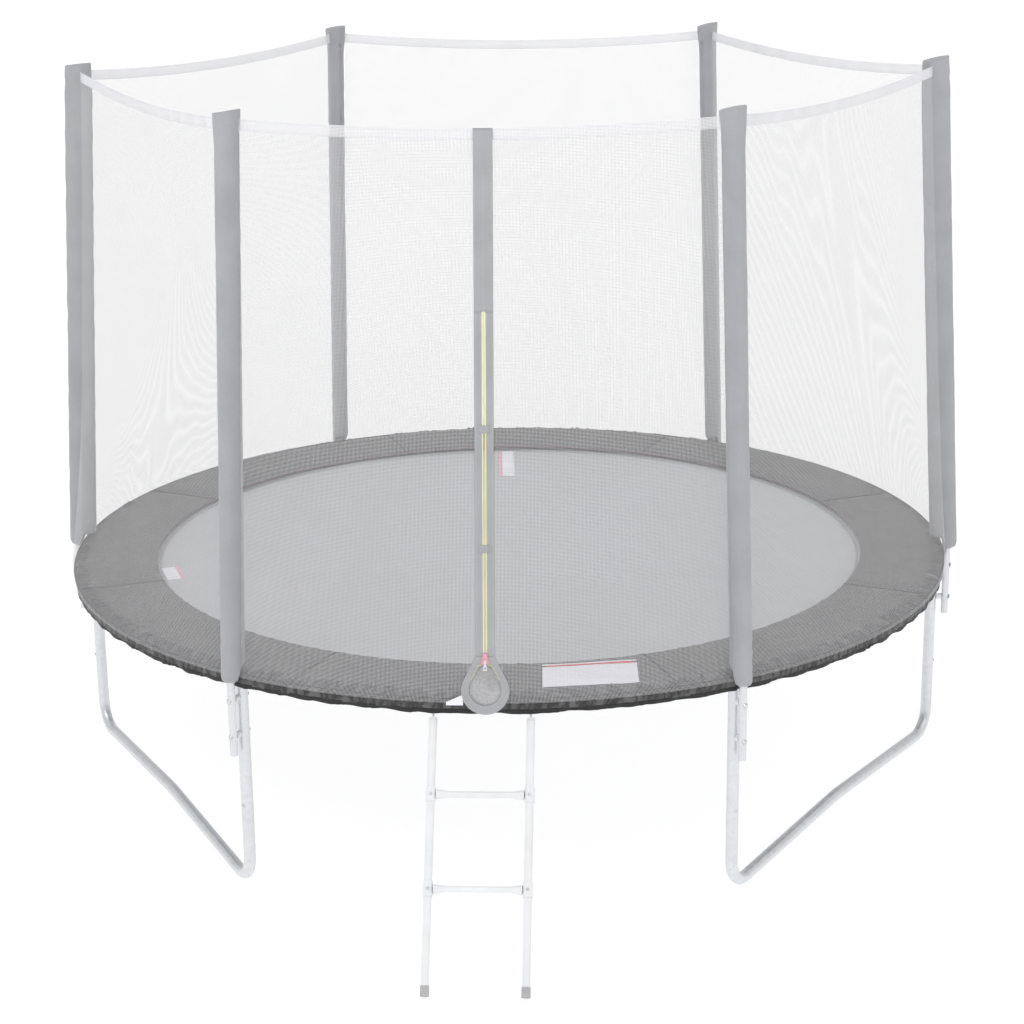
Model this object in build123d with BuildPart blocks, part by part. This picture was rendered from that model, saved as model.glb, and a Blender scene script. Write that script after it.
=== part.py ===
from build123d import *
import os
from math import asin, atan2, cos, degrees, radians, sin, sqrt, tan

# A round backyard trampoline with an outside safety net and a hook-on ladder.
# Millimetres. The origin is the centre of the mat's top face, +Z is up, and the ladder and the
# zipped doorway are on the -Y side. Angles round the rim start at -Y and grow towards +X.

os.makedirs("parts", exist_ok=True)

# ---------------------------------------------------------------- driving dimensions
SIDES = 6
STEP = 360 / SIDES
POLE_ANGLES = [STEP * (k + 0.5) for k in range(SIDES)]
GROUND_Z = -715

TUBE_R = 19
TUBE_BORE_R = 17.5
SPIGOT_R = 17.2
SPIGOT_BORE_R = 15.7
NECK = 3
FIT_GAP = 0.3

RIM_R = 1506
RIM_Z = -17
RIM_SPIGOT = 58
SOCKET_BOTTOM_Z = -89
SOCKET_BORE_TOP_Z = -40

POST_BOTTOM_Z = GROUND_Z + 245
POST_SPIGOT = 45
BASE_SPIGOT = 60
BASE_BEND_R = 90
BASE_MIDDLE_RISE = 30
BASE_MIDDLE_R = 600

POLE_TUBE_R = 12.5
POLE_BORE_R = 11.3
POLE_SPIGOT_R = 11.0
POLE_SPIGOT_BORE_R = 9.9
POLE_RING_R = 1556
POLE_TOP_RING_R = 1457
POLE_BOTTOM_Z = GROUND_Z + 467
POLE_BEND_Z = -10
POLE_TOP_Z = 1700
POLE_BEND_R = 1250
POLE_JOINT = 760
POLE_SPIGOT = 60

BOLT_ZS = [GROUND_Z + 647, GROUND_Z + 528]
BOLT_R = 4.0
BOLT_HOLE_R = 4.4
SCREW_R = 3.0
SCREW_HOLE_R = 3.3
LEG_SCREW_Z = GROUND_Z + 285
BOLT_HEAD_R = 9
BOLT_HEAD_HEIGHT = 4.5
BOLT_HEAD_TAPER = 35
SCREW_HEAD_R = 5.5
SCREW_HEAD_HEIGHT = 3.5
SCREW_DEPTH = 8
HEAD_TAPER = 30

SLEEVE_BOTTOM = 50
SLEEVE_TOP = 1722
SLEEVE_RADIAL = 47.5
SLEEVE_TANGENT = 28.5
SLEEVE_OFFSET = -12
SLEEVE_WALL = 1.2
FOAM_R = 25
FOAM_BORE_R = 12.8
FOAM_TOP = 1700

MAT_R = 1238
MAT_BORDER_R = 1322
MAT_THICKNESS = 3
SPRING_COUNT = 60
SPRING_COIL_R = 9
SPRING_WIRE_R = 1.5
SPRING_INNER_END = 1358
SPRING_OUTER_END = 1474
HOOK_HOLE_RING_R = 1494
HOOK_HOLE_R = 3.5
V_RING_BAR_R = 1343
V_RING_WIRE = 4

PAD_INNER_R = 1246
PAD_OUTER_R = 1534.5
PAD_BOTTOM_Z = 10
PAD_TOP_Z = 33
PAD_WALL = 1.5
PAD_SEGMENTS = 8
PAD_SEAM = 14
SKIRT_THICKNESS = 2
SKIRT_BOTTOM_Z = -22
STRAP_COUNT = 12
STRAP_ANGLE = 12

NET_R = 1538
NET_THICKNESS = 1.5
NET_BOTTOM_Z = -24
NET_LOFT_Z = 36
NET_TOP_Z = 1654
HEM_HEIGHT = 34
HEM_THICKNESS = 3
NET_TOP_END = 36
NET_BOTTOM_END = 30.5

ZIP_X = 12
WEBBING_WIDTH = 57
WEBBING_THICKNESS = 2.4
TEETH_WIDTH = 7
TEETH_THICKNESS = 3.4
TEETH_SLOT = 8
TAB_WIDTH = 30
TAB_HEIGHT = 22
TAB_SEAM = 6
TAB_SEAM_X = 12
ZIP_LOW = 124
ZIP_HIGH = 1122
LOOP_OUTER_R = 71.5
LOOP_CENTRE = 9.5
LOOP_OPENING_R = 48
LOOP_OPENING_CENTRE = 13
LOOP_OPENING_TOP = 83
LOOP_TOP = 112
LOOP_LIFT = 1.3
SHOULDER_X = 0.9
SHOULDER_S = 0.44

LADDER_TILT = 36
LADDER_HALF = 145
LADDER_TUBE_R = 12.5
LADDER_BORE_R = 11.3
LADDER_START = 40
RUNG_PLACES = [268, 546]
RUNG_R = 10
RUNG_BORE_R = 8.8
RUNG_FLARE_R = 14.5
RUNG_FLARE = 34
TEE_R = 15.5
TEE_LENGTH = 44
HOOK_BAR_R = 3
CAP_R = 13.8
CAP_LENGTH = 30
TEE_HOLE_R = 2.8
TEE_SCREW_R = 2.5
TEE_HEAD_R = 5
TEE_HEAD_HEIGHT = 3
TEE_SCREW_DEPTH = 8
HOOK_PLUG = 40

# ---------------------------------------------------------------- derived
POLE_HEIGHT = 1719 - POLE_BEND_Z
POLE_LEAN = degrees(atan2(POLE_RING_R - POLE_TOP_RING_R, POLE_HEIGHT))
NET_CORNER_R = POLE_RING_R - (NET_TOP_Z - POLE_BEND_Z) * tan(radians(POLE_LEAN)) + SLEEVE_OFFSET
NET_TOP_MIDDLE = NET_CORNER_R * cos(radians(STEP / 2))
NET_TOP_HALF = NET_CORNER_R * sin(radians(STEP / 2)) - NET_TOP_END
NET_BOTTOM_HALF = STEP / 2 - degrees(asin(NET_BOTTOM_END / NET_R))
NET_LEAN = degrees(atan2(NET_R - NET_TOP_MIDDLE, NET_TOP_Z - NET_LOFT_Z))
DOOR_HALF = WEBBING_WIDTH / 2 + FIT_GAP
HINGE_Y = -sqrt(RIM_R**2 - LADDER_HALF**2)
LADDER_LENGTH = (RIM_Z - GROUND_Z - CAP_R * sin(radians(LADDER_TILT))) / cos(radians(LADDER_TILT))


def outward(angle):
    """Unit vector that points away from the centre at an angle round the rim."""
    return Vector(sin(radians(angle)), -cos(radians(angle)), 0)


def flat_plane(angle, z):
    """Horizontal plane over the centre, local x pointing outward."""
    return Plane(origin=(0, 0, z), x_dir=outward(angle), z_dir=(0, 0, 1))


def upright_plane(angle):
    """Upright plane through the centre line: local x outward, local y up."""
    x_dir = outward(angle)
    return Plane(origin=(0, 0, 0), x_dir=x_dir, z_dir=x_dir.cross(Vector(0, 0, 1)))


def post_plane(angle, z):
    """Horizontal plane on the centre line of a leg post."""
    return Plane(origin=outward(angle) * RIM_R + Vector(0, 0, z), x_dir=outward(angle), z_dir=(0, 0, 1))


def facing_plane(angle, radius, z):
    """Plane that faces outward at a radius and a height."""
    x_dir = Vector(cos(radians(angle)), sin(radians(angle)), 0)
    return Plane(origin=outward(angle) * radius + Vector(0, 0, z), x_dir=x_dir, z_dir=outward(angle))


def pole_plane(angle, rise):
    """Plane square to the leaning stretch of a pole, rise mm above its bend."""
    lean = radians(POLE_LEAN)
    along = outward(angle) * -sin(lean) + Vector(0, 0, cos(lean))
    across = outward(angle) * cos(lean) + Vector(0, 0, sin(lean))
    bend = outward(angle) * POLE_RING_R + Vector(0, 0, POLE_BEND_Z)
    return Plane(origin=bend + along * rise, x_dir=across, z_dir=along)


def door_plane(lift):
    """Sloping plane of the front net at the zip: local x across, local y up the slope."""
    lean = radians(NET_LEAN)
    normal = Vector(0, -cos(lean), sin(lean))
    return Plane(origin=Vector(ZIP_X, -NET_R, NET_LOFT_Z) + normal * lift, x_dir=(1, 0, 0), z_dir=normal)


def ladder_plane(place):
    """Plane square to the ladder's rails, place mm below the hook's centre line."""
    tilt = radians(LADDER_TILT)
    down = Vector(0, -sin(tilt), -cos(tilt))
    return Plane(origin=Vector(0, HINGE_Y, RIM_Z) + down * place, x_dir=(1, 0, 0), z_dir=down)


def ladder_face(lift):
    """Plane parallel to the ladder's front: local x across, local y up the ladder."""
    tilt = radians(LADDER_TILT)
    normal = Vector(0, -cos(tilt), sin(tilt))
    return Plane(origin=Vector(0, HINGE_Y, RIM_Z) + normal * lift, x_dir=(1, 0, 0), z_dir=normal)


def save(builder, name):
    """Label a finished piece and write its STEP file."""
    builder.part.label = name
    export_step(builder.part, f"parts/{name}.step")


# ---------------------------------------------------------------- rim rails with leg sockets
spigot_turn = degrees(RIM_SPIGOT / RIM_R)
neck_turn = degrees(NECK / RIM_R)
rail_turn = STEP - degrees(FIT_GAP / RIM_R)
hole_pitch = 360 / SPRING_COUNT
for k, angle in enumerate(POLE_ANGLES, start=1):
    rail_start = angle - STEP / 2
    rail_end = rail_start + rail_turn
    with BuildPart() as frame_rail:
        with BuildSketch(upright_plane(rail_start)):
            with Locations((RIM_R, RIM_Z)):
                Circle(TUBE_R)
        revolve(axis=Axis.Z, revolution_arc=rail_turn)
        with BuildSketch(upright_plane(rail_end - neck_turn)):
            with Locations((RIM_R, RIM_Z)):
                Circle(SPIGOT_R)
        revolve(axis=Axis.Z, revolution_arc=spigot_turn)
        with BuildSketch(post_plane(angle, SOCKET_BOTTOM_Z)):
            Circle(TUBE_R)
        extrude(amount=RIM_Z - SOCKET_BOTTOM_Z)
        with BuildSketch(upright_plane(rail_start - neck_turn)):
            with Locations((RIM_R, RIM_Z)):
                Circle(TUBE_BORE_R)
        revolve(axis=Axis.Z, revolution_arc=rail_turn, mode=Mode.SUBTRACT)
        with BuildSketch(upright_plane(rail_end - 2 * neck_turn)):
            with Locations((RIM_R, RIM_Z)):
                Circle(SPIGOT_BORE_R)
        revolve(axis=Axis.Z, revolution_arc=spigot_turn + 2 * neck_turn, mode=Mode.SUBTRACT)
        with BuildSketch(post_plane(angle, SOCKET_BOTTOM_Z)):
            Circle(TUBE_BORE_R)
        extrude(amount=SOCKET_BORE_TOP_Z - SOCKET_BOTTOM_Z, mode=Mode.SUBTRACT)
        # slots for the spring hooks, through the top wall only
        first_hole = rail_start + hole_pitch / 2
        hole_angles = [first_hole + hole_pitch * n for n in range(SPRING_COUNT // SIDES)]
        with BuildSketch(Plane.XY.offset(RIM_Z)):
            with Locations([outward(a) * HOOK_HOLE_RING_R for a in hole_angles]):
                Circle(HOOK_HOLE_R)
        extrude(amount=TUBE_R, mode=Mode.SUBTRACT)
        # the upper pole bolt passes through the socket
        with BuildSketch(facing_plane(angle, RIM_R - TUBE_R - NECK, BOLT_ZS[0])):
            Circle(BOLT_HOLE_R)
        extrude(amount=2 * (TUBE_R + NECK), mode=Mode.SUBTRACT)
        # one screw from below holds each rim joint: a hole in the wall and one in the spigot
        with BuildSketch(Plane.XY.offset(RIM_Z - TUBE_R)):
            with Locations([outward(a + spigot_turn / 2) * RIM_R for a in (rail_start, rail_end)]):
                Circle(SCREW_HOLE_R)
        extrude(amount=TUBE_R - NECK, mode=Mode.SUBTRACT)
    save(frame_rail, f"frame_rail_{k}")

# ---------------------------------------------------------------- leg posts
for k, angle in enumerate(POLE_ANGLES, start=1):
    shoulder = SOCKET_BOTTOM_Z - FIT_GAP
    with BuildPart() as leg_post:
        with BuildSketch(post_plane(angle, POST_BOTTOM_Z)):
            Circle(TUBE_R)
            Circle(TUBE_BORE_R, mode=Mode.SUBTRACT)
        extrude(amount=shoulder - POST_BOTTOM_Z)
        with BuildSketch(post_plane(angle, shoulder - NECK)):
            Circle(TUBE_R)
            Circle(SPIGOT_BORE_R, mode=Mode.SUBTRACT)
        extrude(amount=NECK)
        with BuildSketch(post_plane(angle, shoulder - NECK)):
            Circle(SPIGOT_R)
            Circle(SPIGOT_BORE_R, mode=Mode.SUBTRACT)
        extrude(amount=POST_SPIGOT + NECK)
        for bolt_z in BOLT_ZS:
            with BuildSketch(facing_plane(angle, RIM_R - TUBE_R - NECK, bolt_z)):
                Circle(BOLT_HOLE_R)
            extrude(amount=2 * (TUBE_R + NECK), mode=Mode.SUBTRACT)
        with BuildSketch(facing_plane(angle, RIM_R + SPIGOT_BORE_R - NECK, LEG_SCREW_Z)):
            Circle(SCREW_HOLE_R)
        extrude(amount=TUBE_R, mode=Mode.SUBTRACT)
    save(leg_post, f"leg_post_{k}")

# ---------------------------------------------------------------- leg bases
# Each base joins the two posts of one leg: down, along the ground with a raised middle, and up.
chord = 2 * RIM_R * sin(radians(STEP / 2))
base_slope = atan2(BASE_MIDDLE_RISE, chord / 2)
bend_tangent = BASE_BEND_R * tan((radians(90) + base_slope) / 2)
bend_dip = bend_tangent * sin(base_slope) - BASE_BEND_R * (1 - cos(base_slope))
corner_z = GROUND_Z + TUBE_R - bend_dip
base_top_z = POST_BOTTOM_Z - FIT_GAP
for k, middle_angle in enumerate([-STEP, STEP, 3 * STEP], start=1):
    left = outward(middle_angle - STEP / 2) * RIM_R
    along = (outward(middle_angle + STEP / 2) - outward(middle_angle - STEP / 2)).normalized()
    run = [(0, base_top_z), (0, corner_z), (chord / 2, corner_z + BASE_MIDDLE_RISE),
           (chord, corner_z), (chord, base_top_z)]
    base_points = [left + along * x + Vector(0, 0, z) for x, z in run]
    ends = [(middle_angle - STEP / 2), (middle_angle + STEP / 2)]
    with BuildPart() as leg_base:
        with BuildLine() as base_line:
            FilletPolyline(*base_points, radius=[BASE_BEND_R, BASE_MIDDLE_R, BASE_BEND_R])
        with BuildSketch(Plane(origin=base_points[0], x_dir=along, z_dir=(0, 0, -1))):
            Circle(TUBE_R)
            Circle(TUBE_BORE_R, mode=Mode.SUBTRACT)
        sweep(path=base_line.wires()[0])
        for angle in ends:
            with BuildSketch(post_plane(angle, base_top_z - NECK)):
                Circle(TUBE_R)
                Circle(SPIGOT_BORE_R, mode=Mode.SUBTRACT)
            extrude(amount=NECK)
            with BuildSketch(post_plane(angle, base_top_z - NECK)):
                Circle(SPIGOT_R)
                Circle(SPIGOT_BORE_R, mode=Mode.SUBTRACT)
            extrude(amount=BASE_SPIGOT + NECK)
            with BuildSketch(facing_plane(angle, RIM_R + SPIGOT_BORE_R - NECK, LEG_SCREW_Z)):
                Circle(SCREW_HOLE_R)
            extrude(amount=TUBE_R, mode=Mode.SUBTRACT)
    save(leg_base, f"leg_base_{k}")

# ---------------------------------------------------------------- net poles
for k, angle in enumerate(POLE_ANGLES, start=1):
    joint = pole_plane(angle, POLE_JOINT)
    foot = outward(angle) * POLE_RING_R + Vector(0, 0, POLE_BOTTOM_Z)
    bend = outward(angle) * POLE_RING_R + Vector(0, 0, POLE_BEND_Z)
    with BuildPart() as pole_lower:
        with BuildLine() as pole_line:
            FilletPolyline(foot, bend, joint.origin, radius=POLE_BEND_R)
        with BuildSketch(Plane(origin=foot, x_dir=outward(angle), z_dir=(0, 0, 1))):
            Circle(POLE_TUBE_R)
            Circle(POLE_BORE_R, mode=Mode.SUBTRACT)
        sweep(path=pole_line.wires()[0])
        with BuildSketch(pole_plane(angle, POLE_JOINT - NECK)):
            Circle(POLE_TUBE_R)
            Circle(POLE_SPIGOT_BORE_R, mode=Mode.SUBTRACT)
        extrude(amount=NECK)
        with BuildSketch(pole_plane(angle, POLE_JOINT - NECK)):
            Circle(POLE_SPIGOT_R)
            Circle(POLE_SPIGOT_BORE_R, mode=Mode.SUBTRACT)
        extrude(amount=POLE_SPIGOT + NECK)
        for bolt_z in BOLT_ZS:
            with BuildSketch(facing_plane(angle, POLE_RING_R - POLE_TUBE_R - NECK, bolt_z)):
                Circle(BOLT_HOLE_R)
            extrude(amount=2 * (POLE_TUBE_R + NECK), mode=Mode.SUBTRACT)
    save(pole_lower, f"pole_lower_{k}")

with BuildPart() as pole_uppers:
    for angle in POLE_ANGLES:
        with BuildSketch(pole_plane(angle, POLE_JOINT + FIT_GAP)):
            Circle(POLE_TUBE_R)
            Circle(POLE_BORE_R, mode=Mode.SUBTRACT)
        extrude(amount=POLE_TOP_Z - POLE_JOINT)
save(pole_uppers, "pole_uppers")

CAP_PLUG = 14
CAP_HEAD = 4
with BuildPart() as pole_caps:
    for angle in POLE_ANGLES:
        with BuildSketch(pole_plane(angle, POLE_TOP_Z + 2 * FIT_GAP)):
            Circle(POLE_TUBE_R)
        extrude(amount=CAP_HEAD)
        with BuildSketch(pole_plane(angle, POLE_TOP_Z + 2 * FIT_GAP)):
            Circle(POLE_SPIGOT_R)
        extrude(amount=-CAP_PLUG)
save(pole_caps, "pole_caps")

with BuildPart() as pole_foams:
    for angle in POLE_ANGLES:
        with BuildSketch(pole_plane(angle, SLEEVE_BOTTOM + NECK)):
            Circle(FOAM_R)
            Circle(FOAM_BORE_R, mode=Mode.SUBTRACT)
        extrude(amount=FOAM_TOP - SLEEVE_BOTTOM)
save(pole_foams, "pole_foams")

with BuildPart() as pole_sleeves:
    for angle in POLE_ANGLES:
        with BuildSketch(pole_plane(angle, SLEEVE_BOTTOM)):
            with Locations((SLEEVE_OFFSET, 0)):
                Ellipse(SLEEVE_RADIAL, SLEEVE_TANGENT)
                Ellipse(SLEEVE_RADIAL - SLEEVE_WALL, SLEEVE_TANGENT - SLEEVE_WALL, mode=Mode.SUBTRACT)
        extrude(amount=SLEEVE_TOP - SLEEVE_BOTTOM)
        with BuildSketch(pole_plane(angle, SLEEVE_TOP - SLEEVE_WALL)):
            with Locations((SLEEVE_OFFSET, 0)):
                Ellipse(SLEEVE_RADIAL, SLEEVE_TANGENT)
        extrude(amount=SLEEVE_WALL)
save(pole_sleeves, "pole_sleeves")

# ---------------------------------------------------------------- pole fasteners
POLE_FACE_R = POLE_RING_R + POLE_TUBE_R
POST_BACK_R = RIM_R - TUBE_R
SPACER_R = 10
NUT_HEIGHT = 8
with BuildPart() as pole_spacers:
    for angle in POLE_ANGLES:
        for bolt_z in BOLT_ZS:
            with BuildSketch(facing_plane(angle, RIM_R + TUBE_R, bolt_z)):
                Circle(SPACER_R)
                Circle(BOLT_HOLE_R, mode=Mode.SUBTRACT)
            extrude(amount=POLE_RING_R - POLE_TUBE_R - RIM_R - TUBE_R)
save(pole_spacers, "pole_spacers")

with BuildPart() as pole_bolts:
    for angle in POLE_ANGLES:
        for bolt_z in BOLT_ZS:
            with BuildSketch(facing_plane(angle, POLE_FACE_R, bolt_z)):
                Circle(BOLT_HEAD_R)
            extrude(amount=BOLT_HEAD_HEIGHT, taper=BOLT_HEAD_TAPER)
            with BuildSketch(facing_plane(angle, POST_BACK_R - NUT_HEIGHT, bolt_z)):
                Circle(BOLT_R)
            extrude(amount=POLE_FACE_R - POST_BACK_R + NUT_HEIGHT)
save(pole_bolts, "pole_bolts")

with BuildPart() as pole_nuts:
    for angle in POLE_ANGLES:
        for bolt_z in BOLT_ZS:
            with BuildSketch(facing_plane(angle, POST_BACK_R, bolt_z)):
                RegularPolygon(7.5, 6)
                Circle(BOLT_R + 0.05, mode=Mode.SUBTRACT)
            extrude(amount=-(NUT_HEIGHT - 1.5))
save(pole_nuts, "pole_nuts")

with BuildPart() as frame_screws:
    for angle in POLE_ANGLES:
        with BuildSketch(facing_plane(angle, RIM_R + TUBE_R, LEG_SCREW_Z)):
            Circle(SCREW_HEAD_R)
        extrude(amount=SCREW_HEAD_HEIGHT, taper=HEAD_TAPER)
        with BuildSketch(facing_plane(angle, RIM_R + TUBE_R, LEG_SCREW_Z)):
            Circle(SCREW_R)
        extrude(amount=-SCREW_DEPTH)
        joint_screw = outward(angle + STEP / 2 + spigot_turn / 2) * RIM_R
        with BuildSketch(Plane.XY.offset(RIM_Z - TUBE_R)):
            with Locations(joint_screw):
                Circle(SCREW_HEAD_R)
        extrude(amount=-SCREW_HEAD_HEIGHT, taper=HEAD_TAPER)
        with BuildSketch(Plane.XY.offset(RIM_Z - TUBE_R)):
            with Locations(joint_screw):
                Circle(SCREW_R)
        extrude(amount=SCREW_DEPTH)
save(frame_screws, "frame_screws")

# ---------------------------------------------------------------- jumping mat and its springs
with BuildPart() as mat:
    with BuildSketch(Plane.XY.offset(-MAT_THICKNESS)):
        Circle(MAT_R)
    extrude(amount=MAT_THICKNESS)
save(mat, "mat")

with BuildPart() as mat_border:
    with BuildSketch(Plane.XY.offset(-MAT_THICKNESS)):
        Circle(MAT_BORDER_R)
        Circle(MAT_R, mode=Mode.SUBTRACT)
    extrude(amount=MAT_THICKNESS)
save(mat_border, "mat_border")

# a triangular steel ring: its wide side is held in the border, its point takes the spring
RING_HALF = 17
with BuildPart() as one_ring:
    with BuildSketch(flat_plane(hole_pitch / 2, -MAT_THICKNESS / 2 - V_RING_WIRE / 2)):
        with BuildLine():
            ring_tip = V_RING_BAR_R + V_RING_WIRE / 2
            Polyline(
                (MAT_BORDER_R + FIT_GAP, -RING_HALF),
                (ring_tip, -5),
                (ring_tip, 5),
                (MAT_BORDER_R + FIT_GAP, RING_HALF),
                close=True,
            )
        make_face()
        offset(amount=-V_RING_WIRE, kind=Kind.INTERSECTION, mode=Mode.SUBTRACT)
    extrude(amount=V_RING_WIRE)

with BuildPart() as v_rings:
    with PolarLocations(0, SPRING_COUNT):
        add(one_ring.part)
save(v_rings, "v_rings")

# a spring as a plain round bar with a square hook at each end
HOOK_LIFT = 4
HOOK_DROP = 8
INNER_HOOK_R = V_RING_BAR_R - V_RING_WIRE / 2 - SPRING_WIRE_R - 2
spring_axis = outward(hole_pitch / 2)
hook_plane = Plane(origin=(0, 0, 0), x_dir=spring_axis, z_dir=spring_axis.cross(Vector(0, 0, 1)))
with BuildPart() as one_spring:
    with BuildSketch(facing_plane(hole_pitch / 2, SPRING_INNER_END, 0)):
        Circle(SPRING_COIL_R)
    extrude(amount=SPRING_OUTER_END - SPRING_INNER_END)
    with BuildSketch(hook_plane):
        with BuildLine():
            Polyline(
                (SPRING_OUTER_END - 1, SPRING_WIRE_R),
                (HOOK_HOLE_RING_R + SPRING_WIRE_R, SPRING_WIRE_R),
                (HOOK_HOLE_RING_R + SPRING_WIRE_R, -HOOK_DROP),
                (HOOK_HOLE_RING_R - SPRING_WIRE_R, -HOOK_DROP),
                (HOOK_HOLE_RING_R - SPRING_WIRE_R, -SPRING_WIRE_R),
                (SPRING_OUTER_END - 1, -SPRING_WIRE_R),
                close=True,
            )
        make_face()
        with BuildLine():
            Polyline(
                (SPRING_INNER_END + 1, HOOK_LIFT + SPRING_WIRE_R),
                (INNER_HOOK_R - SPRING_WIRE_R, HOOK_LIFT + SPRING_WIRE_R),
                (INNER_HOOK_R - SPRING_WIRE_R, HOOK_LIFT - HOOK_DROP),
                (INNER_HOOK_R + SPRING_WIRE_R, HOOK_LIFT - HOOK_DROP),
                (INNER_HOOK_R + SPRING_WIRE_R, HOOK_LIFT - SPRING_WIRE_R),
                (SPRING_INNER_END + 1, HOOK_LIFT - SPRING_WIRE_R),
                close=True,
            )
        make_face()
    extrude(amount=SPRING_WIRE_R, both=True)

with BuildPart() as springs:
    with PolarLocations(0, SPRING_COUNT):
        add(one_spring.part, clean=False)
save(springs, "springs")

# ---------------------------------------------------------------- spring pad
pad_seam_angles = [360 / PAD_SEGMENTS * (k + 0.5) for k in range(PAD_SEGMENTS)]
with BuildPart() as pad_foam:
    with BuildSketch(Plane.XY.offset(PAD_BOTTOM_Z + PAD_WALL + FIT_GAP)):
        Circle(PAD_OUTER_R - PAD_SEAM)
        Circle(PAD_INNER_R + PAD_SEAM, mode=Mode.SUBTRACT)
        for seam_angle in pad_seam_angles:
            with Locations(Location(outward(seam_angle) * PAD_INNER_R, (0, 0, seam_angle))):
                Rectangle(PAD_SEAM, PAD_OUTER_R, mode=Mode.SUBTRACT)
    extrude(amount=PAD_TOP_Z - PAD_BOTTOM_Z - 2 * (PAD_WALL + FIT_GAP))
save(pad_foam, "pad_foam")

with BuildPart() as pad_cover:
    with BuildSketch(Plane.XY.offset(PAD_BOTTOM_Z)):
        Circle(PAD_OUTER_R)
        Circle(PAD_INNER_R, mode=Mode.SUBTRACT)
    extrude(amount=PAD_TOP_Z - PAD_BOTTOM_Z)
    with BuildSketch(Plane.XY.offset(PAD_BOTTOM_Z + PAD_WALL)):
        Circle(PAD_OUTER_R - PAD_SEAM + FIT_GAP)
        Circle(PAD_INNER_R + PAD_SEAM - FIT_GAP, mode=Mode.SUBTRACT)
        for seam_angle in pad_seam_angles:
            with Locations(Location(outward(seam_angle) * PAD_INNER_R, (0, 0, seam_angle))):
                Rectangle(PAD_SEAM - 2 * FIT_GAP, PAD_OUTER_R, mode=Mode.SUBTRACT)
    extrude(amount=PAD_TOP_Z - PAD_BOTTOM_Z - 2 * PAD_WALL, mode=Mode.SUBTRACT)
save(pad_cover, "pad_cover")

with BuildPart() as pad_skirt:
    with BuildSketch(Plane.XY.offset(SKIRT_BOTTOM_Z)):
        Circle(PAD_OUTER_R)
        Circle(PAD_OUTER_R - SKIRT_THICKNESS, mode=Mode.SUBTRACT)
    extrude(amount=PAD_BOTTOM_Z - SKIRT_BOTTOM_Z)
save(pad_skirt, "pad_skirt")

STRAP_WIDTH = 15
STRAP_THICKNESS = 1.4
with BuildPart() as pad_straps:
    for k in range(STRAP_COUNT):
        strap_angle = STRAP_ANGLE + 360 / STRAP_COUNT * k
        tangent = Vector(cos(radians(strap_angle)), sin(radians(strap_angle)), 0)
        strap_start = outward(strap_angle) * RIM_R + Vector(0, 0, RIM_Z) - tangent * STRAP_WIDTH / 2
        with BuildSketch(Plane(origin=strap_start, x_dir=outward(strap_angle), z_dir=tangent)):
            Circle(TUBE_R + 1.8)
            Circle(TUBE_R + 0.6, mode=Mode.SUBTRACT)
        extrude(amount=STRAP_WIDTH)
        strap_foot = outward(strap_angle) * RIM_R + Vector(0, 0, RIM_Z + TUBE_R + 1.2)
        with BuildSketch(Plane(origin=strap_foot, x_dir=outward(strap_angle), z_dir=(0, 0, 1))):
            Rectangle(STRAP_THICKNESS, STRAP_WIDTH)
        extrude(amount=PAD_BOTTOM_Z - RIM_Z - TUBE_R - 1.2)
save(pad_straps, "pad_straps")

# ---------------------------------------------------------------- safety net
half_thick = NET_THICKNESS / 2
door_turn = degrees(asin(DOOR_HALF / NET_R))
door_shift = degrees(asin(ZIP_X / NET_R))
panels = [(f"net_panel_{k}", STEP * k, None) for k in range(1, SIDES)]
panels += [("net_front_left", 0, -1), ("net_front_right", 0, 1)]
for name, angle, door_side in panels:
    low_turn, high_turn = -NET_BOTTOM_HALF, NET_BOTTOM_HALF
    low_y, high_y = -NET_TOP_HALF, NET_TOP_HALF
    low_band, high_band = -STEP / 2 + 0.01, STEP / 2 - 0.01
    if door_side == -1:
        high_turn = high_band = door_shift - door_turn
        high_y = ZIP_X - DOOR_HALF
    if door_side == 1:
        low_turn = low_band = door_shift + door_turn
        low_y = ZIP_X + DOOR_HALF
    with BuildPart() as net_panel:
        with BuildSketch(flat_plane(angle, NET_LOFT_Z)):
            with BuildLine():
                outer = CenterArc((0, 0), NET_R + half_thick, low_turn, high_turn - low_turn)
                inner = CenterArc((0, 0), NET_R - half_thick, low_turn, high_turn - low_turn)
                Line(outer @ 0, inner @ 0)
                Line(outer @ 1, inner @ 1)
            make_face()
        with BuildSketch(flat_plane(angle, NET_TOP_Z)):
            with BuildLine():
                Polyline(
                    (NET_TOP_MIDDLE + half_thick, low_y),
                    (NET_TOP_MIDDLE + half_thick, high_y),
                    (NET_TOP_MIDDLE - half_thick, high_y),
                    (NET_TOP_MIDDLE - half_thick, low_y),
                    close=True,
                )
            make_face()
        loft(ruled=True)
        with BuildSketch(flat_plane(angle, NET_BOTTOM_Z)):
            with BuildLine():
                outer = CenterArc((0, 0), NET_R + half_thick, low_band, high_band - low_band)
                inner = CenterArc((0, 0), NET_R - half_thick, low_band, high_band - low_band)
                Line(outer @ 0, inner @ 0)
                Line(outer @ 1, inner @ 1)
            make_face()
        extrude(amount=NET_LOFT_Z - NET_BOTTOM_Z)
    save(net_panel, name)

with BuildPart() as net_hem:
    for k in range(SIDES):
        with BuildSketch(flat_plane(STEP * k, NET_TOP_Z)):
            with Locations((NET_TOP_MIDDLE, 0)):
                Rectangle(HEM_THICKNESS, 2 * NET_TOP_HALF - 4)
        extrude(amount=HEM_HEIGHT)
save(net_hem, "net_hem")

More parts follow.
